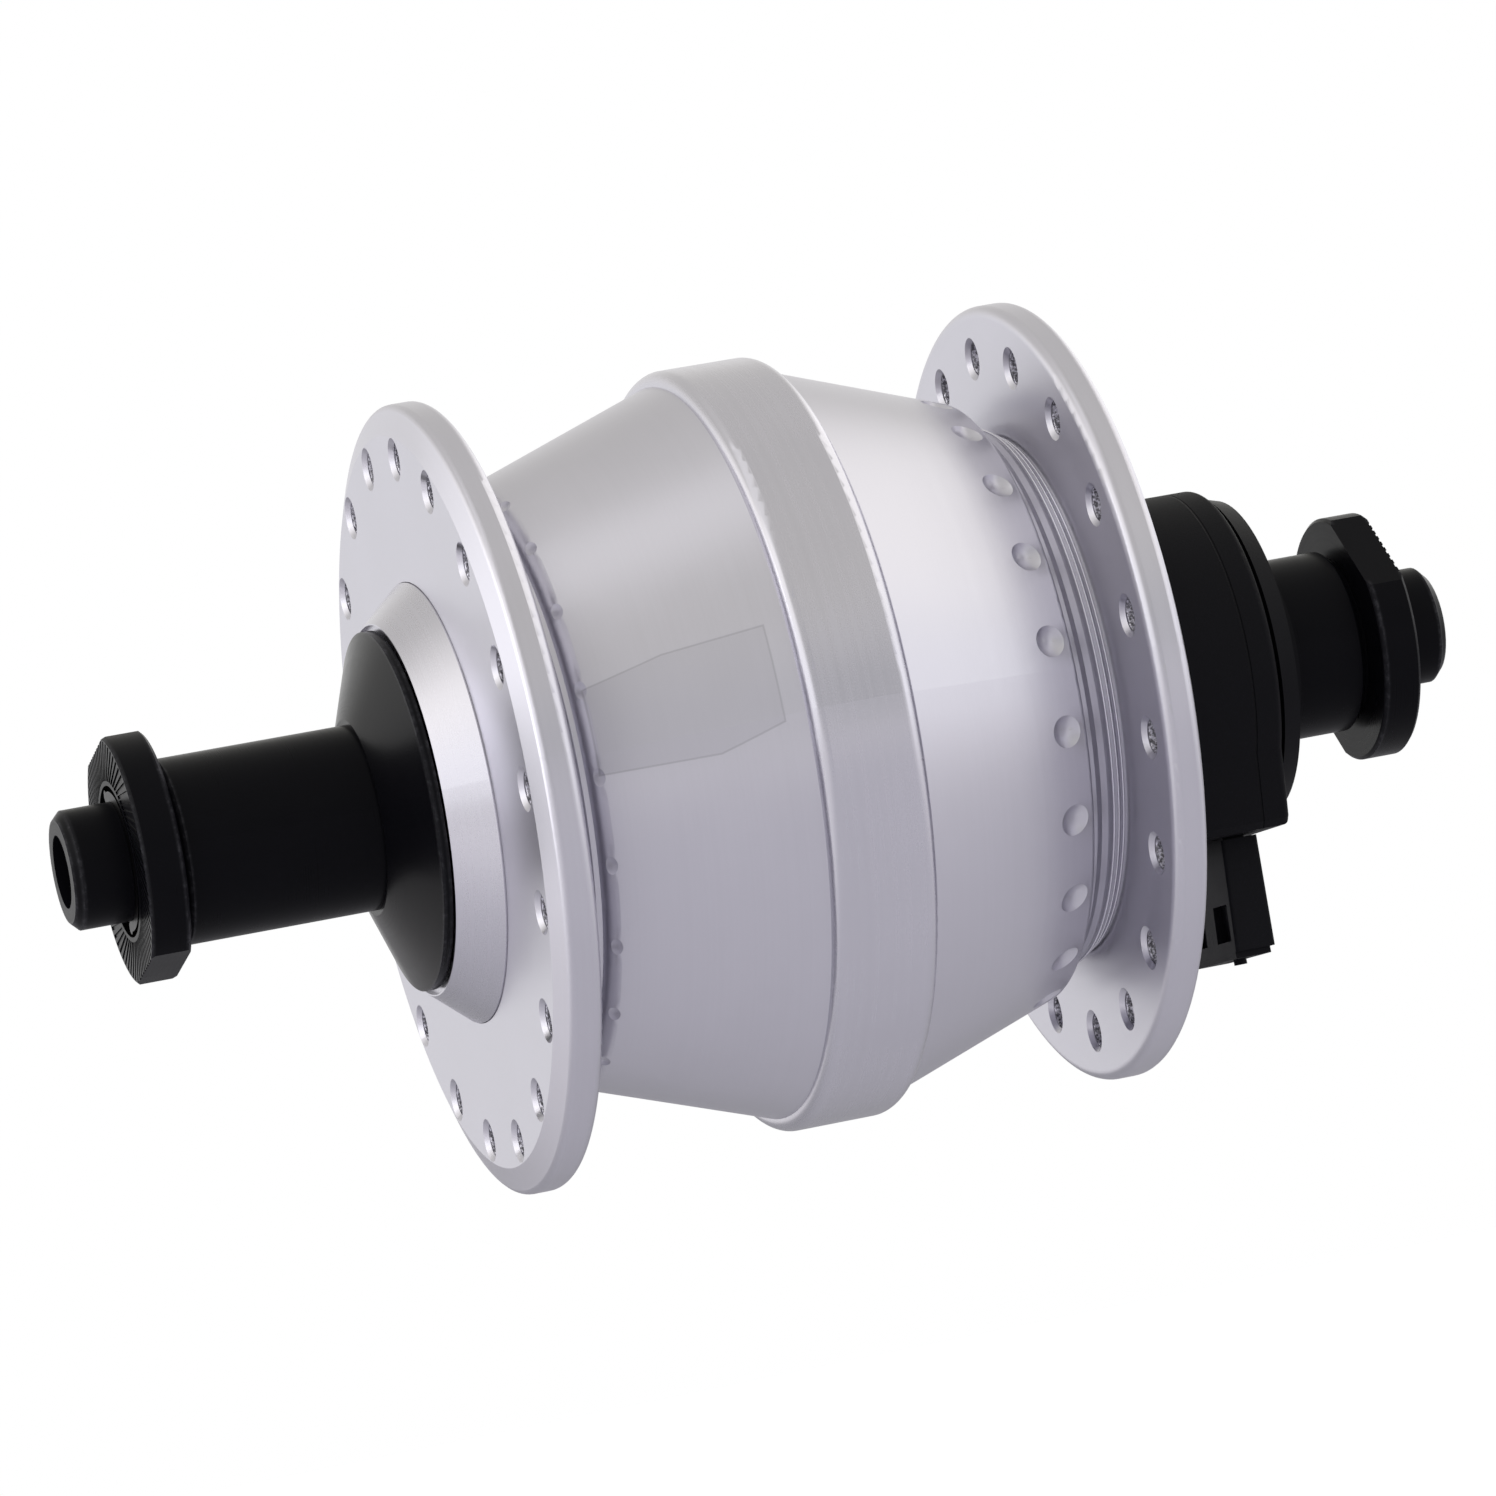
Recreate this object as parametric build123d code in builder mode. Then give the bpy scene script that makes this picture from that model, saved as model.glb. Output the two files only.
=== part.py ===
# Hub dynamo for a bicycle front wheel, in millimetres.
# The axle lies along Y, the plug hangs down -Z, and the origin is the wheel's centre.
# "left" is the plain end at -Y and "right" is the connector end at +Y.
import os
from math import cos, radians, sin

from build123d import *

os.makedirs("parts", exist_ok=True)

# Sides: name and the sign of Y
sides = (("left", -1), ("right", 1))

# Fits and clearances
fit = 0.03
joint_gap = 0.05
running_gap = 0.4
overrun = 1.0

# Width over the locknuts, from which the rest of the axle is laid out
over_locknut_width = 100.0

# Axle
stub_radius = 4.5
stub_length = 4.35
stub_chamfer = 0.6
skewer_bore_radius = 2.75
journal_step = 0.5
seat_step = 2.5
race_land = 1.5
clip_groove_depth = 0.25
clip_groove_width = 0.5
wire_groove_width = 2.6
wire_groove_depth = 1.6

# Clips on the axle, in the locknuts' recesses
clip_height = 0.75
clip_lug_radius = 0.45
clip_arc_angle = 196.0

# Locknuts
locknut_wall = 4.95
locknut_thickness = 3.0
locknut_flat_depth = 0.95
locknut_recess_wall = 1.2
locknut_recess_depth = 0.8
locknut_chamfer = 0.25
serration_count = 72
serration_width = 0.3
serration_depth = 0.1
serration_margin = 0.35
serration_tilt = 35.0
left_flat_angle = 170.0
right_flat_angle = 45.0

# Sleeves between the locknuts and the covers
sleeve_wall = 2.0
sleeve_neck_wall = 1.5
sleeve_neck_length = 0.4
sleeve_chamfer = 0.45

# Cone cover on the plain end
cone_rim_height = 6.2
cone_rim_thickness = 0.7
cone_depth = 2.5
cone_root_step = 0.4

# Ball bearings, 15 x 28 x 7
bearing_section = 6.5
bearing_width = 7.0
bearing_stand = 1.75
ball_radius = 2.38
ball_count = 11
ball_clearance = 0.05
race_wall = 2.1
cage_wall = 1.1
cage_side_gap = 0.6
shield_thickness = 0.25
shield_inset = 0.05
shield_gap = 0.15

# Hub shell: flanges
flange_thickness = 3.25
flange_inner_edge_radius = 0.8
flange_outer_edge_radius = 0.6
flange_taper_width = 2.2
flange_taper_depth = 0.8
spoke_height = 6.05
spoke_edge_distance = 3.9
spoke_hole_radius = 1.3
spoke_hole_chamfer = 0.35
spoke_count = 18
left_spoke_angle = 13.9
right_spoke_angle = 3.8

# Hub shell: cones, neck and band
cone_taper = 4.9
cone_length = 14.15
left_cone_extra = 1.0
left_cone_edge_radius = 1.4
right_cone_edge_radius = 0.5
neck_wall = 3.3
neck_taper = 1.6
neck_length = 3.7
neck_ridge_count = 3
neck_ridge_depth = 0.2
neck_shoulder = 1.5
band_height = 1.1
band_half_width = 4.05
band_edge_radius = 1.05
band_seat_depth = 1.1
joint_chamfer = 1.2
joint_seal_radius = 0.46

# Hub shell: dimples beside the flanges
dimple_count = 22
dimple_radius = 1.9
left_dimple_lift = 1.75
right_dimple_lift = 1.53
left_dimple_inset = -0.55
right_dimple_inset = 1.25
left_dimple_angle = 12.5
right_dimple_angle = 3.0

# Hub shell: inside
cone_wall = 2.0
spigot_wall = 1.7
end_wall_thickness = 3.1
bearing_lip_height = 1.4

# End caps
cap_thread_wall = 1.5
cap_thread_length = 1.25
cap_rim_width = 1.2
cap_seat_depth = 0.7
cap_edge_height = 0.12
cap_lip_width = 0.1
cap_depth = 3.03
cap_web_thickness = 1.0
seal_thickness = 0.8
seal_height = 1.05
seal_gap = 0.15

# Generator: rotor
pole_count = 28
flux_ring_thickness = 1.0
magnet_thickness = 2.3
magnet_half_width = 8.0
magnet_end_gap = 0.1
magnet_side_gap = 0.4
air_gap = 0.7

# Generator: stator
stator_overhang = 1.6
claw_disc_thickness = 2.0
claw_thickness = 1.9
claw_base_width = 5.2
claw_tip_width = 2.4
claw_tip_gap = 1.4
core_wall = 2.4
bobbin_wall = 1.1
bobbin_flange_gap = 1.0
bobbin_flange_thickness = 1.0
bobbin_side_gap = 0.1
winding_inset = 0.7
stator_washer_thickness = 0.8
stator_washer_width = 4.5
stator_nut_thickness = 3.0
stator_nut_wall = 2.5

# Connector housing
housing_base_depth = 6.2
housing_cover_thickness = 2.2
housing_wall = 1.5
housing_edge_radius = 0.5
housing_tube_wall = 2.0
block_top_height = 8.0
block_reach = 0.3
block_corner_height = 0.5
block_corner_width = 0.5
block_side_half_width = 9.1
spacer_slot_length = 3.9

# Disc and boss outside the connector housing
disc_inset = 0.7
disc_edge_taper = 0.4
disc_depth = 1.8
disc_groove_depth = 1.0
disc_groove_width = 0.4
disc_boss_step = 0.2
disc_boss_length = 2.1
disc_dome = 0.35

# Socket, blades and plug
socket_half_width = 4.7
socket_wall = 1.2
socket_height = 4.0
socket_shelf_thickness = 1.0
socket_depth = 2.2
tongue_gap = 0.3
tongue_side_gap = 0.2
blade_spread = 2.6
blade_width = 1.6
blade_thickness = 0.5
blade_stand = 0.9
blade_tip_inset = 0.7
blade_tail = 1.0
blade_tail_gap = 0.6
blade_slot_gap = 0.15
plug_half_width = 5.5
plug_gap = 0.2
plug_length = 8.5
plug_front_offset = 0.15
plug_lean = 0.58
plug_top_depth = 2.89
plug_bottom_depth = 3.17
plug_edge_radius = 0.25
plug_window_width = 3.3
plug_window_height = 2.8
plug_window_depth = 0.7
plug_window_place = 2.9
plug_window_drop = 6.2
plug_slot_depth = 6.0
contact_thickness = 0.3
contact_width = 1.4
contact_top_gap = 0.4
plug_cavity_half_width = 4.2
plug_cavity_thickness = 1.4
plug_cavity_depth = 2.6
plug_cap_thickness = 0.5
plug_cap_inset = 0.35
plug_cap_spigot_gap = 0.1
wire_hole_radius = 0.6
plug_nub_radius = 0.5
plug_nub_height = 0.45

# Leads from the coil to the blades
lead_radius = 0.35
lead_spread = 0.6
lead_rise = 0.9
lead_track_depth = 0.9
lead_bend_radius = 0.5
lead_exit_inset = 1.2
lead_solder_gap = 0.05

# Radii from the axle outward
clip_groove_radius = stub_radius - clip_groove_depth
clip_outer_radius = stub_radius + clip_height
locknut_radius = stub_radius + locknut_wall
locknut_flat_to_flat = 2 * (locknut_radius - locknut_flat_depth)
locknut_recess_radius = stub_radius + locknut_recess_wall
sleeve_neck_radius = stub_radius + sleeve_neck_wall
journal_radius = stub_radius + journal_step
sleeve_radius = journal_radius + sleeve_wall
cone_root_radius = sleeve_radius + cone_root_step
cone_rim_radius = cone_root_radius + cone_rim_height
seat_radius = journal_radius + seat_step
collar_radius = seat_radius + race_land
bearing_outer_radius = seat_radius + bearing_section
ball_pitch_radius = seat_radius + bearing_section / 2
inner_race_radius = seat_radius + race_wall
outer_race_radius = bearing_outer_radius - race_wall
cage_inner_radius = ball_pitch_radius - cage_wall / 2
cage_outer_radius = ball_pitch_radius + cage_wall / 2
bearing_lip_radius = bearing_outer_radius - bearing_lip_height
cap_bore_radius = collar_radius + seal_gap + seal_height
cap_lip_radius = bearing_outer_radius
cap_thread_radius = bearing_outer_radius + cap_thread_wall
cap_radius = cap_thread_radius + cap_rim_width
neck_radius = cap_radius + neck_wall
neck_top_radius = neck_radius + neck_taper
cone_narrow_radius = neck_top_radius + neck_shoulder
cone_wide_radius = cone_narrow_radius + cone_taper
band_radius = cone_wide_radius + band_height
band_bore_radius = cone_wide_radius - band_seat_depth
spoke_pitch_radius = neck_radius + spoke_height
flange_radius = spoke_pitch_radius + spoke_edge_distance
flux_ring_radius = band_bore_radius - spigot_wall
flux_ring_inner_radius = flux_ring_radius - flux_ring_thickness
magnet_inner_radius = flux_ring_inner_radius - magnet_thickness
claw_radius = magnet_inner_radius - air_gap
bobbin_flange_radius = claw_radius - claw_thickness - bobbin_flange_gap
winding_radius = bobbin_flange_radius - winding_inset
core_radius = seat_radius + core_wall
bobbin_tube_radius = core_radius + bobbin_wall
stator_washer_radius = seat_radius + stator_washer_width
stator_nut_flats = 2 * (seat_radius + stator_nut_wall)
housing_tube_radius = journal_radius + housing_tube_wall
blade_top_height = housing_tube_radius + blade_tail_gap
socket_top_height = blade_top_height + blade_tail + socket_shelf_thickness
block_bottom_height = socket_top_height + socket_height
housing_radius = block_bottom_height - block_reach
disc_radius = housing_radius - disc_inset
disc_face_radius = disc_radius - disc_edge_taper
disc_groove_radius = disc_radius - disc_groove_depth
disc_boss_radius = sleeve_radius + disc_boss_step
lead_start_radius = bobbin_tube_radius + lead_rise
lead_track_radius = seat_radius - lead_track_depth

# Places along the axle, from the wheel's centre outward
locknut_outer_face = over_locknut_width / 2
locknut_inner_face = locknut_outer_face - locknut_thickness
sleeve_outer_face = locknut_inner_face - sleeve_neck_length
cone_end_face = band_half_width + cone_length
flange_inner_face = cone_end_face + neck_length
flange_outer_face = flange_inner_face + flange_thickness
bearing_outer_face = flange_outer_face + bearing_stand
bearing_inner_face = bearing_outer_face - bearing_width
bearing_middle = bearing_outer_face - bearing_width / 2
end_wall_face = bearing_inner_face - end_wall_thickness
left_cone_end_face = cone_end_face + left_cone_extra
cap_seat_face = flange_outer_face - cap_seat_depth
cap_thread_face = cap_seat_face - cap_thread_length
cap_edge_face = flange_outer_face + cap_edge_height
cap_lip_face = cap_edge_face + cap_depth
cap_web_inner_face = bearing_outer_face + joint_gap
cap_web_outer_face = cap_web_inner_face + cap_web_thickness
cone_cover_back_face = cap_web_outer_face + running_gap
cone_rim_face = cone_cover_back_face + cone_rim_thickness
cone_cover_front_face = cone_rim_face + cone_depth
flux_ring_half_width = magnet_half_width + magnet_end_gap
stator_half_width = magnet_half_width + stator_overhang
claw_inner_face = stator_half_width - claw_disc_thickness
winding_half_width = claw_inner_face - bobbin_side_gap - bobbin_flange_thickness
washer_outer_face = stator_half_width + stator_washer_thickness
nut_outer_face = washer_outer_face + stator_nut_thickness
lead_turn_place = stator_half_width - claw_disc_thickness / 2
housing_back_face = cap_lip_face + running_gap
spacer_step_face = housing_back_face + housing_wall
spacer_slot_end = housing_back_face + spacer_slot_length
lead_exit_place = spacer_slot_end - lead_exit_inset
housing_parting_face = housing_back_face + housing_base_depth
housing_front_face = housing_parting_face + housing_cover_thickness
disc_face = housing_front_face + disc_depth
disc_boss_face = disc_face + disc_boss_length
socket_inner_face = housing_parting_face - socket_depth
blade_face = socket_inner_face + blade_stand
plug_inner_face_top = socket_inner_face - plug_front_offset
plug_outer_face_top = plug_inner_face_top + plug_top_depth
plug_inner_face_bottom = plug_inner_face_top - plug_lean
plug_outer_face_bottom = plug_inner_face_bottom + plug_bottom_depth

# Heights of the connector's block and plug below the axle
block_side_height = block_bottom_height - block_corner_height
block_bottom_half_width = block_side_half_width - block_corner_width
blade_tip_height = block_bottom_height - blade_tip_inset
plug_top_height = block_bottom_height + plug_gap
plug_bottom_height = plug_top_height + plug_length
plug_window_middle = plug_top_height + plug_window_drop
pole_angle = 360 / pole_count


def outline(*points):
    """Return the closed face of (radius, place along Y) points, ready to turn about the axle."""
    with BuildSketch(Plane.XY) as face:
        with BuildLine():
            Polyline(*points, close=True)
        make_face()
    return face.sketch


def tube_outline(inner, outer, start, end):
    """Return the face of a plain tube between two radii and two places along Y."""
    return outline((inner, start), (outer, start), (outer, end), (inner, end))


def across(place):
    """Return the plane square to the axle at a place along Y, with X to the right and Z up."""
    return Plane.XZ.offset(-place)


def cone_radius(place):
    """Return the outside radius of the shell's cone at a distance from the wheel's centre."""
    share = (place - band_half_width) / (cone_end_face - band_half_width)
    return cone_wide_radius + share * (cone_narrow_radius - cone_wide_radius)


# Axle: a hollow shaft with bearing seats, a collar for the stator and a groove for the leads
left_end = -locknut_outer_face - stub_length
right_end = locknut_outer_face + stub_length
seat_end = bearing_outer_face - fit
with BuildPart() as axle:
    revolve(
        outline(
            (0, left_end),
            (stub_radius - stub_chamfer, left_end),
            (stub_radius, left_end + stub_chamfer),
            (stub_radius, -sleeve_outer_face),
            (journal_radius, -sleeve_outer_face),
            (journal_radius, -seat_end),
            (seat_radius, -seat_end),
            (seat_radius, -bearing_inner_face),
            (collar_radius, -bearing_inner_face),
            (collar_radius, -stator_half_width),
            (seat_radius, -stator_half_width),
            (seat_radius, seat_end),
            (journal_radius, seat_end),
            (journal_radius, sleeve_outer_face),
            (stub_radius, sleeve_outer_face),
            (stub_radius, right_end - stub_chamfer),
            (stub_radius - stub_chamfer, right_end),
            (0, right_end),
        ),
        axis=Axis.Y,
    )
    for side, sign in sides:
        groove_end = sign * locknut_outer_face
        groove_start = groove_end - sign * clip_groove_width
        revolve(
            tube_outline(clip_groove_radius, stub_radius + overrun, groove_start, groove_end),
            axis=Axis.Y,
            mode=Mode.SUBTRACT,
        )
    with BuildSketch(Plane.XZ.offset(-left_end)):
        Circle(skewer_bore_radius)
    extrude(amount=-(right_end - left_end), mode=Mode.SUBTRACT)
    with BuildSketch(across(lead_turn_place - wire_groove_width / 2)):
        with Locations((0, -seat_radius)):
            Rectangle(wire_groove_width, 2 * wire_groove_depth)
    extrude(amount=-(seat_end - lead_turn_place + wire_groove_width), mode=Mode.SUBTRACT)
axle.part.label = "axle"
export_step(axle.part, "parts/axle.step")


# Axle clips: an open ring with a lug at each end, in the groove inside each locknut's recess
def axle_clip(sign):
    """Return one open clip ring for the axle's groove, with its mouth towards -X."""
    inner = clip_groove_radius + fit
    thickness = clip_groove_width - 2 * fit
    start = sign * (locknut_outer_face - fit)
    half_angle = clip_arc_angle / 2
    gap_half_angle = radians(180 - half_angle)
    cut_reach = 2 * clip_outer_radius
    with BuildPart() as clip:
        with BuildSketch(across(start)):
            Circle(clip_outer_radius)
            Circle(inner, mode=Mode.SUBTRACT)
            with BuildLine():
                Polyline(
                    (0, 0),
                    (-cut_reach * cos(gap_half_angle), cut_reach * sin(gap_half_angle)),
                    (-cut_reach * 2, 0),
                    (-cut_reach * cos(gap_half_angle), -cut_reach * sin(gap_half_angle)),
                    close=True,
                )
            make_face(mode=Mode.SUBTRACT)
            for lug_angle in (-half_angle, half_angle):
                with PolarLocations(clip_outer_radius - clip_lug_radius / 2, 1, start_angle=lug_angle):
                    Circle(clip_lug_radius)
            Circle(inner, mode=Mode.SUBTRACT)
        extrude(amount=sign * thickness)
    return clip


for side, sign in sides:
    clip = axle_clip(sign)
    clip.part.label = f"{side}_axle_clip"
    export_step(clip.part, f"parts/{side}_axle_clip.step")


# Locknuts: round with two flats, a recess and a serrated outer face
def locknut(sign, flat_angle):
    """Return one locknut with its flats turned to flat_angle from +Z towards +X."""
    outer = sign * locknut_outer_face
    inner = sign * locknut_inner_face
    edge = locknut_radius - locknut_chamfer
    ring_width = locknut_radius - locknut_recess_radius
    with BuildPart() as nut:
        revolve(
            outline(
                (stub_radius + fit, inner),
                (edge, inner),
                (locknut_radius, inner + sign * locknut_chamfer),
                (locknut_radius, outer - sign * locknut_chamfer),
                (edge, outer),
                (locknut_recess_radius, outer),
                (locknut_recess_radius, outer - sign * locknut_recess_depth),
                (stub_radius + fit, outer - sign * locknut_recess_depth),
            ),
            axis=Axis.Y,
        )
        with BuildSketch(Plane.ZX.offset(outer)):
            with PolarLocations(locknut_recess_radius + ring_width / 2, serration_count):
                with Locations(Rotation(0, 0, serration_tilt)):
                    Rectangle(2 * ring_width, serration_width)
            Circle(locknut_radius - serration_margin, mode=Mode.INTERSECT)
            Circle(locknut_recess_radius + serration_margin, mode=Mode.SUBTRACT)
        extrude(amount=-sign * serration_depth, mode=Mode.SUBTRACT)
        with BuildSketch(Plane.ZX.offset(inner - sign * overrun)):
            with PolarLocations(locknut_flat_to_flat / 2 + locknut_radius, 2, start_angle=flat_angle):
                Rectangle(2 * locknut_radius, 2 * locknut_radius + overrun)
        extrude(amount=sign * (locknut_thickness + 2 * overrun), mode=Mode.SUBTRACT)
    return nut


for (side, sign), flat_angle in zip(sides, (left_flat_angle, right_flat_angle)):
    nut = locknut(sign, flat_angle)
    nut.part.label = f"{side}_locknut"
    export_step(nut.part, f"parts/{side}_locknut.step")


# Spacer sleeves: from the cover or disc out to the locknut
def spacer_sleeve(sign, root_face):
    """Return one sleeve from root_face to the locknut, with its necked and chamfered outer end."""
    bore = journal_radius + fit
    neck_bore = stub_radius + fit
    shoulder = sign * (sleeve_outer_face + fit)
    with BuildPart() as sleeve:
        revolve(
            outline(
                (bore, sign * root_face),
                (sleeve_radius, sign * root_face),
                (sleeve_radius, sign * (sleeve_outer_face - sleeve_chamfer)),
                (sleeve_radius - sleeve_chamfer, sign * sleeve_outer_face),
                (sleeve_neck_radius, sign * sleeve_outer_face),
                (sleeve_neck_radius, sign * locknut_inner_face),
                (neck_bore, sign * locknut_inner_face),
                (neck_bore, shoulder),
                (bore, shoulder),
            ),
            axis=Axis.Y,
        )
    return sleeve


for (side, sign), root_face in zip(sides, (cone_cover_front_face, disc_boss_face)):
    sleeve = spacer_sleeve(sign, root_face)
    sleeve.part.label = f"{side}_spacer_sleeve"
    export_step(sleeve.part, f"parts/{side}_spacer_sleeve.step")


# Cone cover: the black flared dust cover at the plain end, clamped against the inner race
with BuildPart() as cone_cover:
    revolve(
        outline(
            (journal_radius + fit, -bearing_outer_face),
            (collar_radius, -bearing_outer_face),
            (collar_radius, -cone_cover_back_face),
            (cone_rim_radius, -cone_cover_back_face),
            (cone_rim_radius, -cone_rim_face),
            (cone_root_radius, -cone_cover_front_face),
            (journal_radius + fit, -cone_cover_front_face),
        ),
        axis=Axis.Y,
    )
cone_cover.part.label = "left_cone_cover"
export_step(cone_cover.part, "parts/left_cone_cover.step")


# Ball bearings: races, balls, cage and shields, the same on both sides
race_groove_radius = ball_radius + ball_clearance
for side, sign in sides:
    middle = sign * bearing_middle
    inner_face = sign * bearing_inner_face
    outer_face = sign * bearing_outer_face

    with BuildPart() as inner_race:
        revolve(
            tube_outline(seat_radius + fit, inner_race_radius, inner_face, outer_face),
            axis=Axis.Y,
        )
        with BuildSketch(Plane.XY):
            with Locations((ball_pitch_radius, middle)):
                Circle(race_groove_radius)
        revolve(axis=Axis.Y, mode=Mode.SUBTRACT)
    inner_race.part.label = f"{side}_inner_race"
    export_step(inner_race.part, f"parts/{side}_inner_race.step")

    with BuildPart() as outer_race:
        revolve(
            tube_outline(outer_race_radius, bearing_outer_radius - fit, inner_face, outer_face),
            axis=Axis.Y,
        )
        with BuildSketch(Plane.XY):
            with Locations((ball_pitch_radius, middle)):
                Circle(race_groove_radius)
        revolve(axis=Axis.Y, mode=Mode.SUBTRACT)
    outer_race.part.label = f"{side}_outer_race"
    export_step(outer_race.part, f"parts/{side}_outer_race.step")

    with BuildPart(Plane.ZX.offset(middle)) as balls:
        with PolarLocations(ball_pitch_radius, ball_count):
            Sphere(ball_radius)
    balls.part.label = f"{side}_bearing_balls"
    export_step(balls.part, f"parts/{side}_bearing_balls.step")

    cage_width = bearing_width - 2 * cage_side_gap
    with BuildPart(Plane.ZX.offset(middle)) as cage:
        Cylinder(cage_outer_radius, cage_width)
        Cylinder(cage_inner_radius, cage_width, mode=Mode.SUBTRACT)
        with PolarLocations(ball_pitch_radius, ball_count):
            Cylinder(
                ball_radius + ball_clearance,
                2 * ball_radius,
                rotation=(0, 90, 0),
                mode=Mode.SUBTRACT,
            )
    cage.part.label = f"{side}_ball_cage"
    export_step(cage.part, f"parts/{side}_ball_cage.step")

    shield_outer_face = bearing_width / 2 - shield_inset
    shield_inner_face = shield_outer_face - shield_thickness
    with BuildPart() as shields:
        for end in (-1, 1):
            revolve(
                tube_outline(
                    inner_race_radius + shield_gap,
                    outer_race_radius,
                    middle + end * shield_inner_face,
                    middle + end * shield_outer_face,
                ),
                axis=Axis.Y,
            )
    shields.part.label = f"{side}_bearing_shields"
    export_step(shields.part, f"parts/{side}_bearing_shields.step")


# Hub shell halves: flange, ridged neck, cone and the spigot under the band
def neck_points(sign, cone_end):
    """Return the turned ridges of the neck, from the cone's end to the flange's root."""
    length = flange_inner_face - cone_end
    step = length / (2 * neck_ridge_count + 1)
    points = []
    for index in range(2 * neck_ridge_count + 1):
        share = index / (2 * neck_ridge_count)
        radius = neck_top_radius + share * (neck_radius - neck_top_radius)
        crest = neck_ridge_depth * (index % 2)
        points.append((radius + crest, sign * (cone_end + (index + 0.5) * step)))
    return points


def circles(builder, radius):
    """Return a part's round edges of one radius, the one nearest the wheel's centre first."""
    found = [edge for edge in builder.edges().filter_by(GeomType.CIRCLE) if abs(edge.radius - radius) < fit]
    return sorted(found, key=lambda edge: abs(edge.center().Y))


def shell_half(sign, cone_end, cone_edge_radius, spoke_angle, dimple_angle, dimple_inset, dimple_lift):
    """Return one half of the hub shell with its spoke holes and dimples."""
    cone_end_radius = cone_radius(cone_end)
    dimple_place = cone_end - dimple_inset
    inside_radius = cone_radius(end_wall_face) - cone_wall
    spigot_radius = band_bore_radius - fit
    with BuildPart() as shell:
        revolve(
            outline(
                (flux_ring_radius, 0),
                (spigot_radius - joint_chamfer, 0),
                (spigot_radius, sign * joint_chamfer),
                (spigot_radius, sign * band_half_width),
                (cone_wide_radius, sign * band_half_width),
                (cone_end_radius, sign * cone_end),
                *neck_points(sign, cone_end),
                (neck_radius, sign * flange_inner_face),
                (flange_radius, sign * flange_inner_face),
                (flange_radius, sign * (flange_outer_face - flange_taper_depth)),
                (flange_radius - flange_taper_width, sign * flange_outer_face),
                (cap_radius + joint_gap, sign * flange_outer_face),
                (cap_radius + joint_gap, sign * cap_seat_face),
                (cap_thread_radius + fit, sign * cap_seat_face),
                (cap_thread_radius + fit, sign * cap_thread_face),
                (bearing_outer_radius, sign * cap_thread_face),
                (bearing_outer_radius, sign * bearing_inner_face),
                (bearing_lip_radius, sign * bearing_inner_face),
                (bearing_lip_radius, sign * end_wall_face),
                (inside_radius, sign * end_wall_face),
                (cone_radius(flux_ring_half_width) - cone_wall, sign * flux_ring_half_width),
                (flux_ring_radius, sign * flux_ring_half_width),
            ),
            axis=Axis.Y,
        )
        sphere_place = cone_radius(dimple_place) + dimple_lift
        fillet(circles(shell, cone_end_radius), cone_edge_radius)
        with Locations(Plane.ZX.offset(sign * dimple_place)):
            with PolarLocations(sphere_place, dimple_count, dimple_angle):
                Sphere(dimple_radius, rotation=(0, 90, 0), mode=Mode.SUBTRACT)
        fillet(circles(shell, flange_radius)[-1], flange_outer_edge_radius)
        fillet(circles(shell, flange_radius)[0], flange_inner_edge_radius)
        with BuildSketch(Plane.ZX.offset(sign * flange_outer_face)):
            with PolarLocations(spoke_pitch_radius, spoke_count, start_angle=spoke_angle):
                Circle(spoke_hole_radius)
        extrude(amount=-sign * flange_thickness, mode=Mode.SUBTRACT)
        chamfer(circles(shell, spoke_hole_radius), spoke_hole_chamfer)
    return shell


shell_values = (
    (
        left_cone_end_face,
        left_cone_edge_radius,
        left_spoke_angle,
        left_dimple_angle,
        left_dimple_inset,
        left_dimple_lift,
    ),
    (
        cone_end_face,
        right_cone_edge_radius,
        right_spoke_angle,
        right_dimple_angle,
        right_dimple_inset,
        right_dimple_lift,
    ),
)
for (side, sign), values in zip(sides, shell_values):
    shell = shell_half(sign, *values)
    shell.part.label = f"hub_shell_{side}"
    export_step(shell.part, f"parts/hub_shell_{side}.step")


# Centre band: the raised ring that holds the two shell halves together
with BuildPart() as band:
    revolve(tube_outline(band_bore_radius, band_radius, -band_half_width, band_half_width), axis=Axis.Y)
    band_edges = [edge for edge in band.edges().filter_by(GeomType.CIRCLE) if edge.radius > band_radius - fit]
    fillet(band_edges, band_edge_radius)
band.part.label = "centre_band"
export_step(band.part, "parts/centre_band.step")

# Joint seal: the ring in the notch where the shell halves meet under the band
seal_place = band_bore_radius - joint_seal_radius - joint_gap
with BuildPart() as joint_seal:
    with BuildSketch(Plane.XY):
        with Locations((seal_place, 0)):
            Circle(joint_seal_radius)
    revolve(axis=Axis.Y)
joint_seal.part.label = "shell_joint_seal"
export_step(joint_seal.part, "parts/shell_joint_seal.step")

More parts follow.
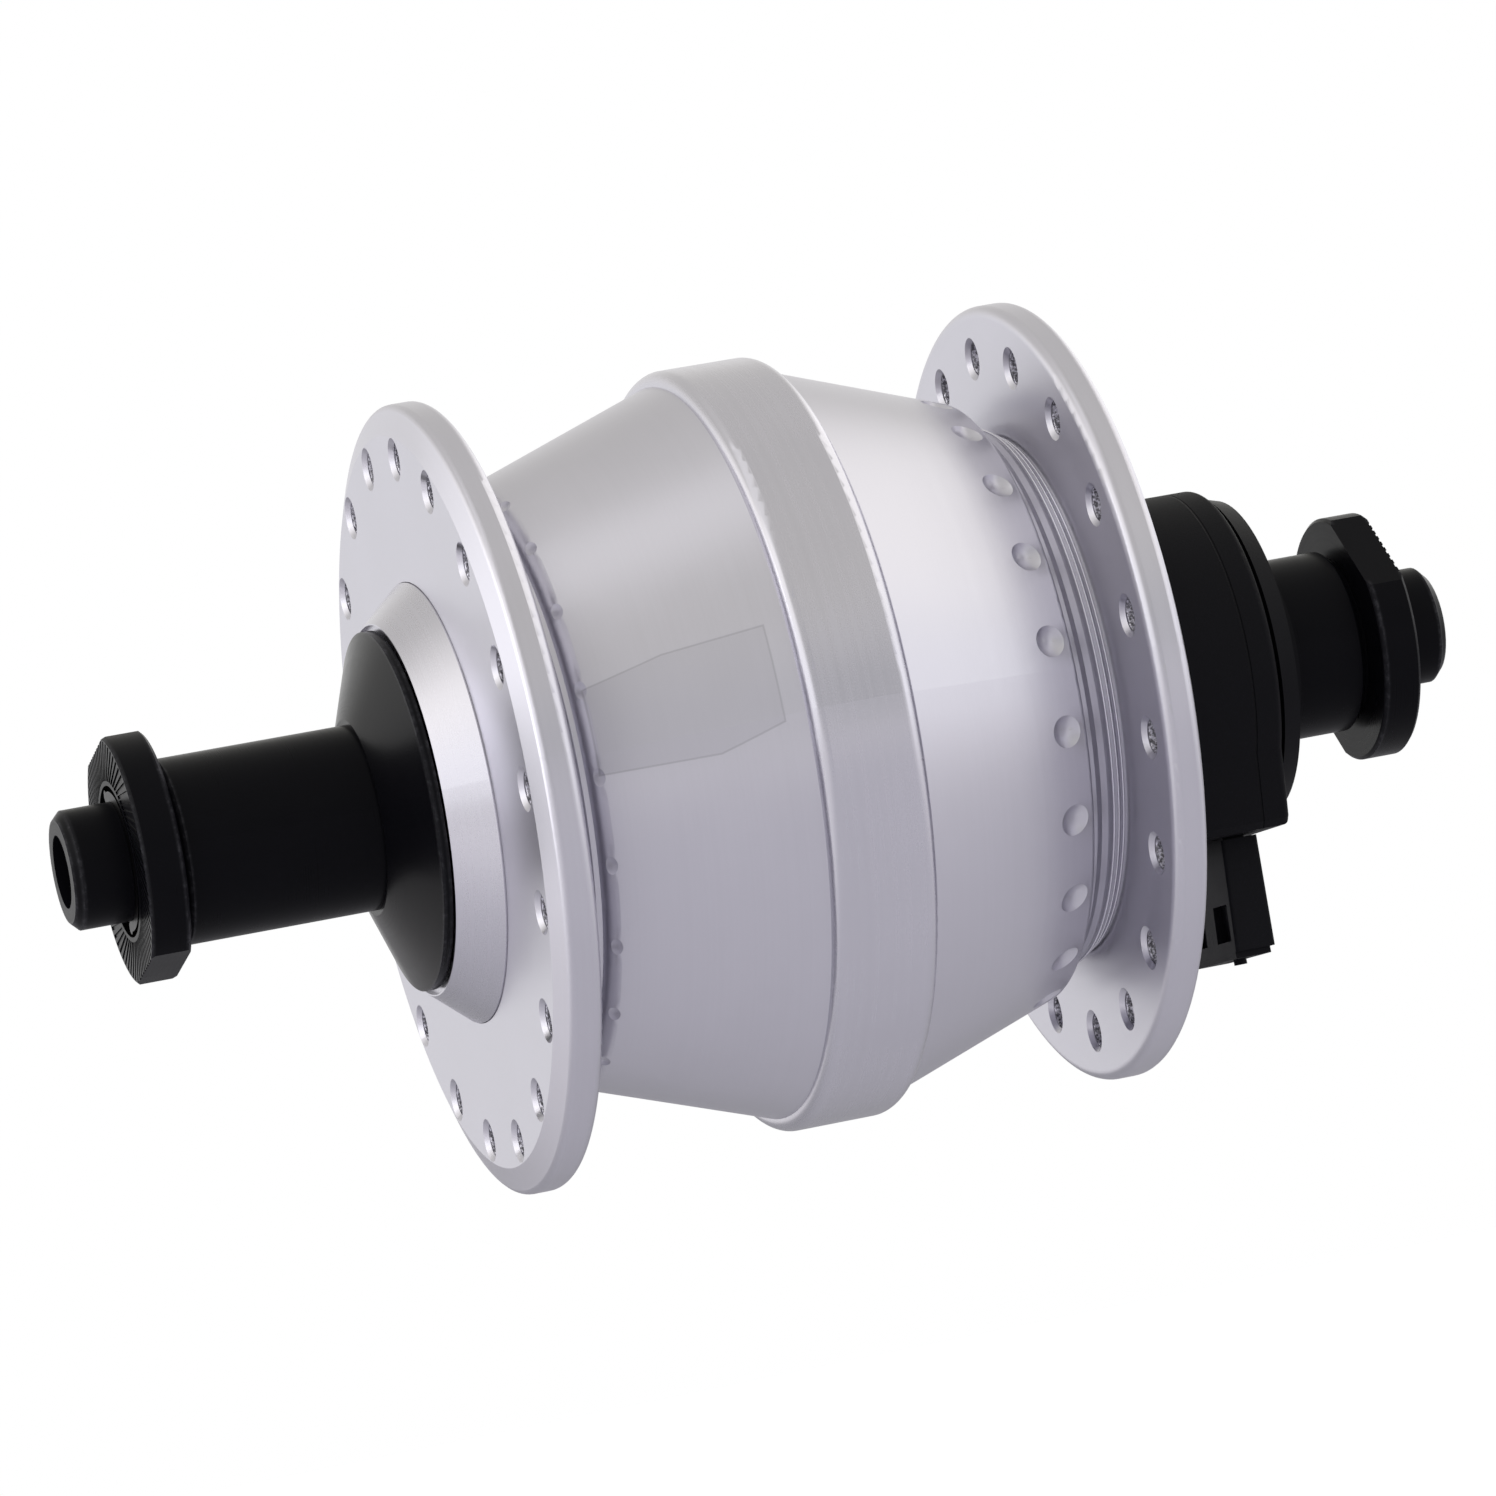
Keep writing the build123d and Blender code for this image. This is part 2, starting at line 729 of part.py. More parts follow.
# End caps and their seals: the dished covers that hold the outer races in the shell
for side, sign in sides:
    with BuildPart() as cap:
        revolve(
            outline(
                (bearing_outer_radius + fit, sign * cap_web_inner_face),
                (cap_bore_radius, sign * cap_web_inner_face),
                (cap_bore_radius, sign * cap_web_outer_face),
                (cap_lip_radius, sign * cap_web_outer_face),
                (cap_lip_radius, sign * cap_lip_face),
                (cap_lip_radius + cap_lip_width, sign * cap_lip_face),
                (cap_radius, sign * cap_edge_face),
                (cap_radius, sign * cap_seat_face),
                (cap_thread_radius, sign * cap_seat_face),
                (cap_thread_radius, sign * (cap_thread_face + joint_gap)),
                (bearing_outer_radius + fit, sign * (cap_thread_face + joint_gap)),
            ),
            axis=Axis.Y,
        )
    cap.part.label = f"{side}_end_cap"
    export_step(cap.part, f"parts/{side}_end_cap.step")

    seal_start = sign * (cap_web_inner_face + (cap_web_thickness - seal_thickness) / 2)
    with BuildPart() as seal:
        revolve(
            tube_outline(
                collar_radius + seal_gap,
                cap_bore_radius,
                seal_start,
                seal_start + sign * seal_thickness,
            ),
            axis=Axis.Y,
        )
    seal.part.label = f"{side}_axle_seal"
    export_step(seal.part, f"parts/{side}_axle_seal.step")

# Rotor: the flux ring and its ring of magnets
with BuildPart() as flux_ring:
    revolve(
        tube_outline(
            flux_ring_inner_radius,
            flux_ring_radius - fit,
            -flux_ring_half_width + fit,
            flux_ring_half_width - fit,
        ),
        axis=Axis.Y,
    )
flux_ring.part.label = "flux_ring"
export_step(flux_ring.part, "parts/flux_ring.step")

with BuildPart() as magnets:
    revolve(
        tube_outline(
            magnet_inner_radius,
            flux_ring_inner_radius - fit,
            -magnet_half_width,
            magnet_half_width,
        ),
        axis=Axis.Y,
    )
    with BuildSketch(Plane.ZX.offset(-magnet_half_width)):
        with PolarLocations(flux_ring_radius, pole_count):
            Rectangle(2 * (flux_ring_radius - magnet_inner_radius) + overrun, magnet_side_gap)
    extrude(amount=2 * magnet_half_width, mode=Mode.SUBTRACT)
magnets.part.label = "rotor_magnets"
export_step(magnets.part, "parts/rotor_magnets.step")


# Stator: core, two claw plates, bobbin and winding, clamped against the axle's collar
with BuildPart() as core:
    revolve(
        tube_outline(seat_radius + fit, core_radius, -claw_inner_face, claw_inner_face),
        axis=Axis.Y,
    )
core.part.label = "stator_core"
export_step(core.part, "parts/stator_core.step")


def claw_plate(sign):
    """Return one claw plate: a disc with tapered fingers that reach over the coil."""
    root = sign * stator_half_width
    tip = -sign * (claw_inner_face - claw_tip_gap)
    claw_floor = claw_radius - claw_thickness
    with BuildPart() as finger:
        with BuildSketch(Plane.YZ.offset(claw_floor)):
            with BuildLine():
                Polyline(
                    (-claw_base_width / 2, root),
                    (claw_base_width / 2, root),
                    (claw_tip_width / 2, tip),
                    (-claw_tip_width / 2, tip),
                    close=True,
                )
            make_face()
        extrude(amount=claw_thickness)
    with BuildPart(Plane.ZX) as plate:
        revolve(
            tube_outline(seat_radius + fit, claw_radius, sign * claw_inner_face, root),
            axis=Axis.Y,
        )
        with PolarLocations(0, pole_count // 2, start_angle=(sign + 1) / 2 * pole_angle):
            add(finger.part)
    return plate


for side, sign in sides:
    plate = claw_plate(sign)
    if side == "right":
        with BuildPart() as plate_slot:
            add(plate.part)
            with BuildSketch(across(claw_inner_face)):
                with Locations((0, -seat_radius / 2 - lead_start_radius / 2)):
                    Rectangle(wire_groove_width, lead_start_radius - seat_radius + wire_groove_width)
            extrude(amount=-claw_disc_thickness, mode=Mode.SUBTRACT)
        plate = plate_slot
    plate.part.label = f"stator_claw_{side}"
    export_step(plate.part, f"parts/stator_claw_{side}.step")

with BuildPart() as bobbin:
    bobbin_half_width = claw_inner_face - bobbin_side_gap
    revolve(
        outline(
            (core_radius + fit, -bobbin_half_width),
            (bobbin_flange_radius, -bobbin_half_width),
            (bobbin_flange_radius, -winding_half_width),
            (bobbin_tube_radius, -winding_half_width),
            (bobbin_tube_radius, winding_half_width),
            (bobbin_flange_radius, winding_half_width),
            (bobbin_flange_radius, bobbin_half_width),
            (core_radius + fit, bobbin_half_width),
        ),
        axis=Axis.Y,
    )
    with BuildSketch(across(winding_half_width)):
        with Locations((0, -lead_start_radius)):
            Rectangle(wire_groove_width, 2 * (lead_start_radius - bobbin_tube_radius))
    extrude(amount=-bobbin_flange_thickness, mode=Mode.SUBTRACT)
bobbin.part.label = "coil_bobbin"
export_step(bobbin.part, "parts/coil_bobbin.step")

with BuildPart() as winding:
    revolve(
        tube_outline(
            bobbin_tube_radius + fit,
            winding_radius,
            -winding_half_width + fit,
            winding_half_width - fit,
        ),
        axis=Axis.Y,
    )
winding.part.label = "coil_winding"
export_step(winding.part, "parts/coil_winding.step")

# Stator washer, ring nut and the tube that carries the clamp to the right inner race
with BuildPart() as stator_washer:
    revolve(
        tube_outline(seat_radius + fit, stator_washer_radius, stator_half_width, washer_outer_face),
        axis=Axis.Y,
    )
stator_washer.part.label = "stator_washer"
export_step(stator_washer.part, "parts/stator_washer.step")

with BuildPart() as stator_nut:
    with BuildSketch(across(washer_outer_face)):
        RegularPolygon(stator_nut_flats / 2, 6, major_radius=False)
        Circle(seat_radius + fit, mode=Mode.SUBTRACT)
    extrude(amount=-stator_nut_thickness)
stator_nut.part.label = "stator_nut"
export_step(stator_nut.part, "parts/stator_nut.step")

with BuildPart() as race_spacer:
    revolve(
        tube_outline(seat_radius + fit, collar_radius, nut_outer_face, bearing_inner_face),
        axis=Axis.Y,
    )
race_spacer.part.label = "race_spacer"
export_step(race_spacer.part, "parts/race_spacer.step")

# Connector spacer: carries the clamp from the right inner race through the housing
with BuildPart() as connector_spacer:
    revolve(
        outline(
            (journal_radius + fit, bearing_outer_face),
            (collar_radius, bearing_outer_face),
            (collar_radius, spacer_step_face),
            (housing_tube_radius, spacer_step_face),
            (housing_tube_radius, housing_front_face),
            (journal_radius + fit, housing_front_face),
        ),
        axis=Axis.Y,
    )
    with BuildSketch(across(bearing_outer_face)):
        with Locations((0, -collar_radius)):
            Rectangle(wire_groove_width, 2 * (collar_radius - skewer_bore_radius))
    extrude(amount=-(spacer_slot_end - bearing_outer_face), mode=Mode.SUBTRACT)
connector_spacer.part.label = "connector_spacer"
export_step(connector_spacer.part, "parts/connector_spacer.step")


# Connector housing: a round box with a block below it for the socket
def housing_face(inset):
    """Return the housing's outline square to the axle, drawn in by inset all round."""
    radius = housing_radius
    shoulder = (radius**2 - block_top_height**2) ** 0.5
    with BuildSketch(Plane.XY) as face:
        Circle(radius)
        with BuildLine():
            Polyline(
                (-shoulder, -block_top_height),
                (-block_side_half_width, -block_side_height),
                (-block_bottom_half_width, -block_bottom_height),
                (block_bottom_half_width, -block_bottom_height),
                (block_side_half_width, -block_side_height),
                (shoulder, -block_top_height),
                close=True,
            )
        make_face()
        if inset:
            offset(amount=-inset, kind=Kind.INTERSECTION, mode=Mode.REPLACE)
    return face.sketch


socket_outer_half_width = socket_half_width + socket_wall
shelf_top_height = socket_top_height - socket_shelf_thickness
with BuildPart() as housing_base:
    with BuildSketch(across(housing_back_face)):
        add(housing_face(0))
        Circle(collar_radius + fit, mode=Mode.SUBTRACT)
    extrude(amount=-(housing_parting_face - housing_back_face))
    with BuildSketch(across(spacer_step_face)):
        add(housing_face(housing_wall))
    extrude(amount=-(housing_parting_face - spacer_step_face), mode=Mode.SUBTRACT)
    with BuildSketch(across(spacer_step_face)):
        with Locations((0, -(block_bottom_height + shelf_top_height) / 2)):
            Rectangle(2 * socket_outer_half_width, block_bottom_height - shelf_top_height)
    extrude(amount=-(housing_parting_face - spacer_step_face))
    with BuildSketch(across(socket_inner_face)):
        with Locations((0, -(block_bottom_height + overrun + socket_top_height) / 2)):
            Rectangle(2 * socket_half_width, block_bottom_height + overrun - socket_top_height)
    extrude(amount=-(housing_parting_face - socket_inner_face), mode=Mode.SUBTRACT)
    with BuildSketch(across(blade_face - fit)):
        with Locations((-blade_spread, -shelf_top_height), (blade_spread, -shelf_top_height)):
            Rectangle(blade_width + 2 * fit, 2 * socket_shelf_thickness + 2 * fit)
    extrude(amount=-(blade_thickness + 2 * fit), mode=Mode.SUBTRACT)
housing_base.part.label = "connector_base"
export_step(housing_base.part, "parts/connector_base.step")

with BuildPart() as housing_cover:
    with BuildSketch(across(housing_parting_face)):
        add(housing_face(0))
        Circle(housing_tube_radius + fit, mode=Mode.SUBTRACT)
    extrude(amount=-(housing_front_face - housing_parting_face))
    front_edges = housing_cover.faces().sort_by(Axis.Y)[-1].outer_wire().edges()
    fillet(front_edges, housing_edge_radius)
    with BuildSketch(across(housing_parting_face)):
        with Locations((0, -block_bottom_height)):
            Rectangle(2 * socket_half_width, 2 * (block_bottom_height - socket_top_height))
    extrude(amount=-joint_gap, mode=Mode.SUBTRACT)
housing_cover.part.label = "connector_cover"
export_step(housing_cover.part, "parts/connector_cover.step")

# Outer disc: the domed disc and boss between the housing and the right sleeve
with BuildPart() as disc:
    revolve(
        outline(
            (journal_radius + fit, housing_front_face),
            (disc_groove_radius, housing_front_face),
            (disc_groove_radius, housing_front_face + disc_groove_width),
            (disc_radius, housing_front_face + disc_groove_width),
            (disc_face_radius, disc_face),
            (disc_boss_radius, disc_face + disc_dome),
            (disc_boss_radius, disc_boss_face),
            (journal_radius + fit, disc_boss_face),
        ),
        axis=Axis.Y,
    )
disc.part.label = "connector_disc"
export_step(disc.part, "parts/connector_disc.step")

# Blades: the two contacts that stand in the socket
with BuildPart() as blades:
    with BuildSketch(across(blade_face)):
        with Locations(
            (-blade_spread, -(blade_tip_height + blade_top_height) / 2),
            (blade_spread, -(blade_tip_height + blade_top_height) / 2),
        ):
            Rectangle(blade_width, blade_tip_height - blade_top_height)
    extrude(amount=-blade_thickness)
blades.part.label = "connector_blades"
export_step(blades.part, "parts/connector_blades.step")

# Leads: two wires from the winding, along the axle's groove, to the blades
solder_place = blade_face - lead_radius - lead_solder_gap
solder_height = (blade_top_height + shelf_top_height) / 2
with BuildPart() as leads:
    for end in (-1, 1):
        with BuildLine() as route:
            FilletPolyline(
                (end * lead_spread, winding_half_width, -lead_start_radius),
                (end * lead_spread, lead_turn_place, -lead_start_radius),
                (end * lead_spread, lead_turn_place, -lead_track_radius),
                (end * lead_spread, lead_exit_place, -lead_track_radius),
                (end * lead_spread, lead_exit_place, -solder_height),
                (end * blade_spread, solder_place, -solder_height),
                radius=lead_bend_radius,
            )
        with BuildSketch(Plane(origin=route.line @ 0, z_dir=route.line % 0)):
            Circle(lead_radius)
        sweep(path=route.line)
leads.part.label = "coil_leads"
export_step(leads.part, "parts/coil_leads.step")

# Plug: a leaning body with a tongue that enters the socket, a wire cap and two contacts
tongue_half_width = socket_half_width - tongue_side_gap
tongue_inner_face = socket_inner_face + tongue_gap
tongue_outer_face = housing_parting_face - tongue_side_gap
tongue_top_height = socket_top_height + tongue_gap
tongue_thickness = tongue_outer_face - tongue_inner_face
slot_inner_face = blade_face - blade_slot_gap - contact_thickness
slot_outer_face = blade_face + blade_thickness + blade_slot_gap
slot_width = blade_width + 2 * blade_slot_gap
plug_height = plug_bottom_height - plug_top_height
lean = (plug_inner_face_bottom - plug_inner_face_top) / plug_height
window_floor = plug_inner_face_top + lean * (plug_window_middle - plug_top_height) + plug_window_depth
cavity_start = tongue_inner_face + (tongue_thickness - plug_cavity_thickness) / 2
with BuildPart() as plug_body:
    with BuildSketch(Plane.YZ.offset(-plug_half_width)):
        with BuildLine():
            Polyline(
                (plug_inner_face_top, -plug_top_height),
                (plug_outer_face_top, -plug_top_height),
                (plug_outer_face_bottom, -plug_bottom_height),
                (plug_inner_face_bottom, -plug_bottom_height),
                close=True,
            )
        make_face()
    extrude(amount=2 * plug_half_width)
    long_edges = plug_body.edges().filter_by(Axis.X, reverse=True).filter_by(Axis.Y, reverse=True)
    fillet(long_edges, plug_edge_radius)
    with BuildSketch(across(tongue_inner_face)):
        with Locations((0, -(plug_top_height + tongue_top_height) / 2)):
            Rectangle(2 * tongue_half_width, plug_top_height - tongue_top_height + 2 * fit)
    extrude(amount=-tongue_thickness)
    with BuildSketch(across(slot_inner_face)):
        with Locations(
            (-blade_spread, -tongue_top_height - plug_slot_depth / 2),
            (blade_spread, -tongue_top_height - plug_slot_depth / 2),
        ):
            Rectangle(slot_width, plug_slot_depth + 2 * fit)
    extrude(amount=-(slot_outer_face - slot_inner_face), mode=Mode.SUBTRACT)
    with BuildSketch(across(plug_inner_face_bottom - overrun)):
        with Locations((-plug_window_place, -plug_window_middle), (plug_window_place, -plug_window_middle)):
            Rectangle(plug_window_width, plug_window_height)
    extrude(amount=-(window_floor - plug_inner_face_bottom + overrun), mode=Mode.SUBTRACT)
    with BuildSketch(across(cavity_start)):
        with Locations((0, -plug_bottom_height)):
            Rectangle(2 * plug_cavity_half_width, 2 * plug_cavity_depth)
    extrude(amount=-plug_cavity_thickness, mode=Mode.SUBTRACT)
plug_body.part.label = "plug_body"
export_step(plug_body.part, "parts/plug_body.step")

# Plug cap: the plate that closes the plug's lower end, with two wire holes and a nub
cap_plate_bottom = plug_bottom_height + plug_cap_thickness
spigot_half_width = plug_cavity_half_width - plug_cap_spigot_gap
spigot_thickness = plug_cavity_thickness - 2 * plug_cap_spigot_gap
spigot_height = plug_cavity_depth - plug_cap_spigot_gap
cap_middle = (plug_inner_face_bottom + plug_outer_face_bottom) / 2
cap_depth_across = plug_outer_face_bottom - plug_inner_face_bottom - plug_cap_inset
with BuildPart() as plug_cap:
    with BuildSketch(Plane.XY.offset(-plug_bottom_height)):
        with Locations((0, cap_middle - plug_cap_inset / 2)):
            Rectangle(2 * (plug_half_width - plug_cap_inset), cap_depth_across)
    extrude(amount=-plug_cap_thickness)
    with BuildSketch(Plane.XY.offset(-plug_bottom_height)):
        with Locations((0, cavity_start + plug_cavity_thickness / 2)):
            Rectangle(2 * spigot_half_width, spigot_thickness)
    extrude(amount=spigot_height)
    with BuildSketch(Plane.XY.offset(-cap_plate_bottom)):
        with Locations((plug_window_place, plug_inner_face_bottom + 2 * plug_nub_radius)):
            Circle(plug_nub_radius)
    extrude(amount=-plug_nub_height)
    with BuildSketch(Plane.XY.offset(-cap_plate_bottom - overrun)):
        with Locations(
            (-blade_spread / 2, cavity_start + plug_cavity_thickness / 2),
            (blade_spread / 2, cavity_start + plug_cavity_thickness / 2),
        ):
            Circle(wire_hole_radius)
    extrude(amount=plug_cap_thickness + overrun + spigot_height + overrun, mode=Mode.SUBTRACT)
plug_cap.part.label = "plug_cap"
export_step(plug_cap.part, "parts/plug_cap.step")

# Plug contacts: a strip beside each blade, seated on its slot's inner wall
contact_top = tongue_top_height + contact_top_gap
contact_bottom = tongue_top_height + plug_slot_depth
with BuildPart() as contacts:
    with BuildSketch(across(slot_inner_face)):
        with Locations(
            (-blade_spread, -(contact_top + contact_bottom) / 2),
            (blade_spread, -(contact_top + contact_bottom) / 2),
        ):
            Rectangle(contact_width, contact_bottom - contact_top)
    extrude(amount=-contact_thickness)
contacts.part.label = "plug_contacts"
export_step(contacts.part, "parts/plug_contacts.step")
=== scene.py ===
"""Hub dynamo for a bicycle front wheel: finishes, turned details, light and camera."""

from math import pi, radians

import bpy
from bpy.props import FloatProperty, FloatVectorProperty, IntProperty, PointerProperty
from bpy.types import Operator, Panel, PropertyGroup
from mathutils import Matrix, Vector


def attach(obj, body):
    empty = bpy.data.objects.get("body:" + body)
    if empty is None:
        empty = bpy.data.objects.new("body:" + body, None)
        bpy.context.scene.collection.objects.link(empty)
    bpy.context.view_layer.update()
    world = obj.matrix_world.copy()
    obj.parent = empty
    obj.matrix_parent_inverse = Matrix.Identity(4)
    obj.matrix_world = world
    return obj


bl_info = {
    "name": "Hub dynamo",
    "version": (1, 0, 0),
    "blender": (4, 5, 0),
    "location": "3D View > Sidebar > Hub dynamo",
    "description": "Gives the hub dynamo its finishes, its turned rings and drilled walls, and a studio",
    "category": "Object",
}

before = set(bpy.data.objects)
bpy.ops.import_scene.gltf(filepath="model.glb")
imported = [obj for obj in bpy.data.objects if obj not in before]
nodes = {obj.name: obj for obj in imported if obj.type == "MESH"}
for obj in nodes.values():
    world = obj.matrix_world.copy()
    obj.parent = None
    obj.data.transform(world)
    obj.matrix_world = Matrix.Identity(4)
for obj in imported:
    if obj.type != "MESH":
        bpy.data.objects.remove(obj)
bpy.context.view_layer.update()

MM = 0.001
SIDES = (("left", -1), ("right", 1))

# Etched panel on the left cone, in degrees and millimetres. A cut corner is given as the shares of
# the way along the axle and round it, and its distance from the panel's middle. The edge is soft over
# a short way, and the line round the panel fades out from one distance to another.
PANEL_ANGLE = 84.9
PANEL_RADIUS = 25.5
PANEL_PLACE = -12.1
PANEL_HALF_HEIGHT = 4.05
PANEL_HALF_LENGTH = 6.55
PANEL_CUTS = ((-0.173, -0.985, 4.11), (0.286, 0.958, 4.42))
PANEL_SOFT = 0.08
PANEL_LINE = (0.02, 0.11)

# Edges that are worn, as a radius and its places along the axle, in millimetres, and how far the wear
# reaches, how strong it is and its colour
AXLE_EDGES = ((3.9, (-54.35, 54.35)), (4.5, (-53.75, 53.75)))
LOCKNUT_EDGES = ((9.2, (-50.0, 50.0)), (9.45, (-47.2, 47.2)))
SLEEVE_EDGES = ((7.0, (-46.2,)),)
COVER_EDGES = ((13.6, (-28.4, -29.0)),)
WEAR_REACH = (0.05, 0.30)
WEAR_AMOUNT = 0.25
WORN_COLOR = (0.16, 0.16, 0.18)

# Parting line of the connector's housing: its place along the axle and where it fades out, in
# millimetres, and how much darker and deeper it is than the plastic's own texture
PARTING_PLACE = 34.9
PARTING_WIDTH = (0.02, 0.12)
PARTING_SHADE = 4
PARTING_DEPTH = 8

# Colours of rubber, plastic and metals that hardly show
RUBBER = (0.012, 0.012, 0.012)
CLIP_STEEL = (0.015, 0.015, 0.017)
BRASS = (0.75, 0.58, 0.27)
COPPER = (0.62, 0.27, 0.12)
BOBBIN_PLASTIC = (0.70, 0.68, 0.60)
SPACER_ZINC = (0.55, 0.55, 0.58)
ZINC_PLATE = (0.52, 0.52, 0.55)
SOFT_IRON = (0.36, 0.35, 0.35)
FERRITE = (0.045, 0.045, 0.05)
RACE_STEEL = (0.60, 0.60, 0.62)
SHIELD_STEEL = (0.55, 0.55, 0.57)
BALL_STEEL = (0.66, 0.66, 0.68)

# Fineness of the rings and drilled walls, and the scale, detail and middle value of the noise that
# roughens the walls
RING_SEGMENTS = 144
RING_SECTION_SEGMENTS = 8
HOLE_SEGMENTS = 26
WALL_POINTS = 38
WALL_NOISE_SCALE = 3400.0
WALL_NOISE_DETAIL = 3.0
WALL_NOISE_MIDDLE = 0.55

# Camera: its place in millimetres, its right, up and back directions, the width of its sensor in
# millimetres and the range it sees in metres
CAMERA_PLACE = (558.66, -156.30, -36.32)
CAMERA_AXES = (
    (0.25072, 0.94804, -0.19585),
    (0.11150, 0.17268, 0.97865),
    (0.96162, -0.26720, -0.06241),
)
SENSOR_WIDTH = 36.0
CLIP_RANGE = (0.01, 20.0)

# Lamps: place and size in metres
KEY_PLACE, KEY_SIZE = (0.26, -0.45, 0.86), (0.5, 0.8)
FILL_PLACE, FILL_SIZE = (0.55, 0.70, -0.10), (0.5, 0.7)
RIM_PLACE, RIM_SIZE = (-0.10, -0.75, 0.15), (0.4, 0.5)

# Colours of the lamps, of the room above, and of the floor behind, in front and at the sides, with
# half the floor's width in metres, its own glow and what is added to it where the camera sees it
WHITE = (1.0, 1.0, 1.0)
COOL_WHITE = (0.97, 0.98, 1.0)
WARM_WHITE = (1.0, 0.985, 0.93)
# The floor behind the hub is painted dark: painted shade that the metal mirrors along its lower side.
FLOOR_BEHIND_PAINTED_SHADE = (0.34, 0.34, 0.38)
FLOOR_FRONT = (0.64, 0.635, 0.71)
FLOOR_SIDES = (0.90, 0.89, 0.95)
FLOOR_HALF = 6.0
FLOOR_GLOW = 0.05
FLOOR_SEEN_GLOW = 0.65


class Wire:
    """An output socket that takes part in Python arithmetic by adding Math nodes."""

    def __init__(self, graph, socket):
        self.graph = graph
        self.socket = socket

    def math(self, operation, *others):
        """Return the result of one Math node that starts with this socket."""
        return self.graph.add("ShaderNodeMath", {"operation": operation}, [self, *others])

    def __add__(self, other):
        return self.math("ADD", other)

    def __mul__(self, other):
        return self.math("MULTIPLY", other)

    def __sub__(self, other):
        return self.math("SUBTRACT", other)

    def __rsub__(self, other):
        return self.graph.add("ShaderNodeMath", {"operation": "SUBTRACT"}, [other, self])

    def __truediv__(self, other):
        return self.math("DIVIDE", other)

    def __abs__(self):
        return self.math("ABSOLUTE")

    __radd__ = __add__
    __rmul__ = __mul__

    def step(self, start, end):
        """Return a smooth rise from 0 at start to 1 at end."""
        settings = {"interpolation_type": "SMOOTHSTEP"}
        inputs = {"Value": self, "From Min": start, "From Max": end}
        return self.graph.add("ShaderNodeMapRange", settings, inputs)


class Graph:
    """A node tree under construction, for a material, the world or a geometry tree."""

    def __init__(self, tree):
        self.tree = tree

    def add(self, kind, settings=None, inputs=(), output=0):
        """Add one node, make its settings, fill or link its sockets and return one output."""
        node = self.tree.nodes.new(kind)
        for key, value in (settings or {}).items():
            setattr(node, key, value)
        pairs = inputs.items() if isinstance(inputs, dict) else enumerate(inputs)
        for key, value in pairs:
            if isinstance(value, Wire):
                self.tree.links.new(value.socket, node.inputs[key])
            else:
                node.inputs[key].default_value = value
        return Wire(self, node.outputs[output])

    def split(self, vector):
        """Return the three parts of a vector."""
        node = self.add("ShaderNodeSeparateXYZ", inputs=[vector]).socket.node
        return [Wire(self, output) for output in node.outputs]

    def tint(self, first, second, factor):
        """Return a colour between two colours, each given as a wire or as three numbers."""
        first, second = [item if isinstance(item, Wire) else (*item, 1.0) for item in (first, second)]
        inputs = {"Factor": factor, 6: first, 7: second}
        return self.add("ShaderNodeMix", {"data_type": "RGBA"}, inputs, output=2)


class Finish(Graph):
    """A material with a Principled shader and coordinates measured from the axle."""

    def __init__(self, name, **sockets):
        self.material = bpy.data.materials.new(name)
        self.material.use_nodes = True
        super().__init__(self.material.node_tree)
        self.shader = self.tree.nodes["Principled BSDF"]
        for key, value in sockets.items():
            self.shader.inputs[key.replace("_", " ")].default_value = value
        self.place = self.add("ShaderNodeTexCoord", output="Object")
        x, self.y, z = self.split(self.place)
        self.radius = (x * x + z * z).math("SQRT")
        self.angle = x.math("ARCTAN2", z)

    def feed(self, key, value):
        """Link one value to the Principled shader."""
        self.tree.links.new(value.socket, self.shader.inputs[key])

    def noise(self, size, detail=2.0, roughness=0.5, vector=None):
        """Return noise from 0 to 1 with features of a size in millimetres."""
        inputs = {
            "Vector": vector or self.place,
            "Scale": 1 / (size * MM),
            "Detail": detail,
            "Roughness": roughness,
        }
        return self.add("ShaderNodeTexNoise", inputs=inputs)

    def turning(self, size, detail=2.0):
        """Return lathe marks: noise that changes only with the radius and the place along the axle."""
        vector = self.add("ShaderNodeCombineXYZ", inputs=[self.radius, self.y, 0.0])
        return self.noise(size, detail, roughness=0.6, vector=vector)

    def relief(self, height, depth):
        """Give the surface a bump of a depth in millimetres."""
        inputs = {"Strength": 1.0, "Distance": depth * MM, "Height": height}
        self.feed("Normal", self.add("ShaderNodeBump", inputs=inputs))


def scaled(color, factor):
    """Return a colour made lighter or darker."""
    return tuple(min(1.0, channel * factor) for channel in color[:3])


def etched_panel(finish):
    """Return two masks for the etched panel: its inside, and the line round it."""
    round_way = (finish.angle - radians(PANEL_ANGLE)) * (PANEL_RADIUS * MM)
    along = finish.y - PANEL_PLACE * MM
    beyond_height = abs(round_way) - PANEL_HALF_HEIGHT * MM
    beyond_length = abs(along) - PANEL_HALF_LENGTH * MM
    edge = beyond_height.math("MAXIMUM", beyond_length)
    for along_share, round_share, reach in PANEL_CUTS:
        edge = edge.math("MAXIMUM", along * along_share + round_way * round_share - reach * MM)
    inside = 1 - edge.step(-PANEL_SOFT * MM, PANEL_SOFT * MM)
    line = 1 - abs(edge).step(PANEL_LINE[0] * MM, PANEL_LINE[1] * MM)
    return inside, line


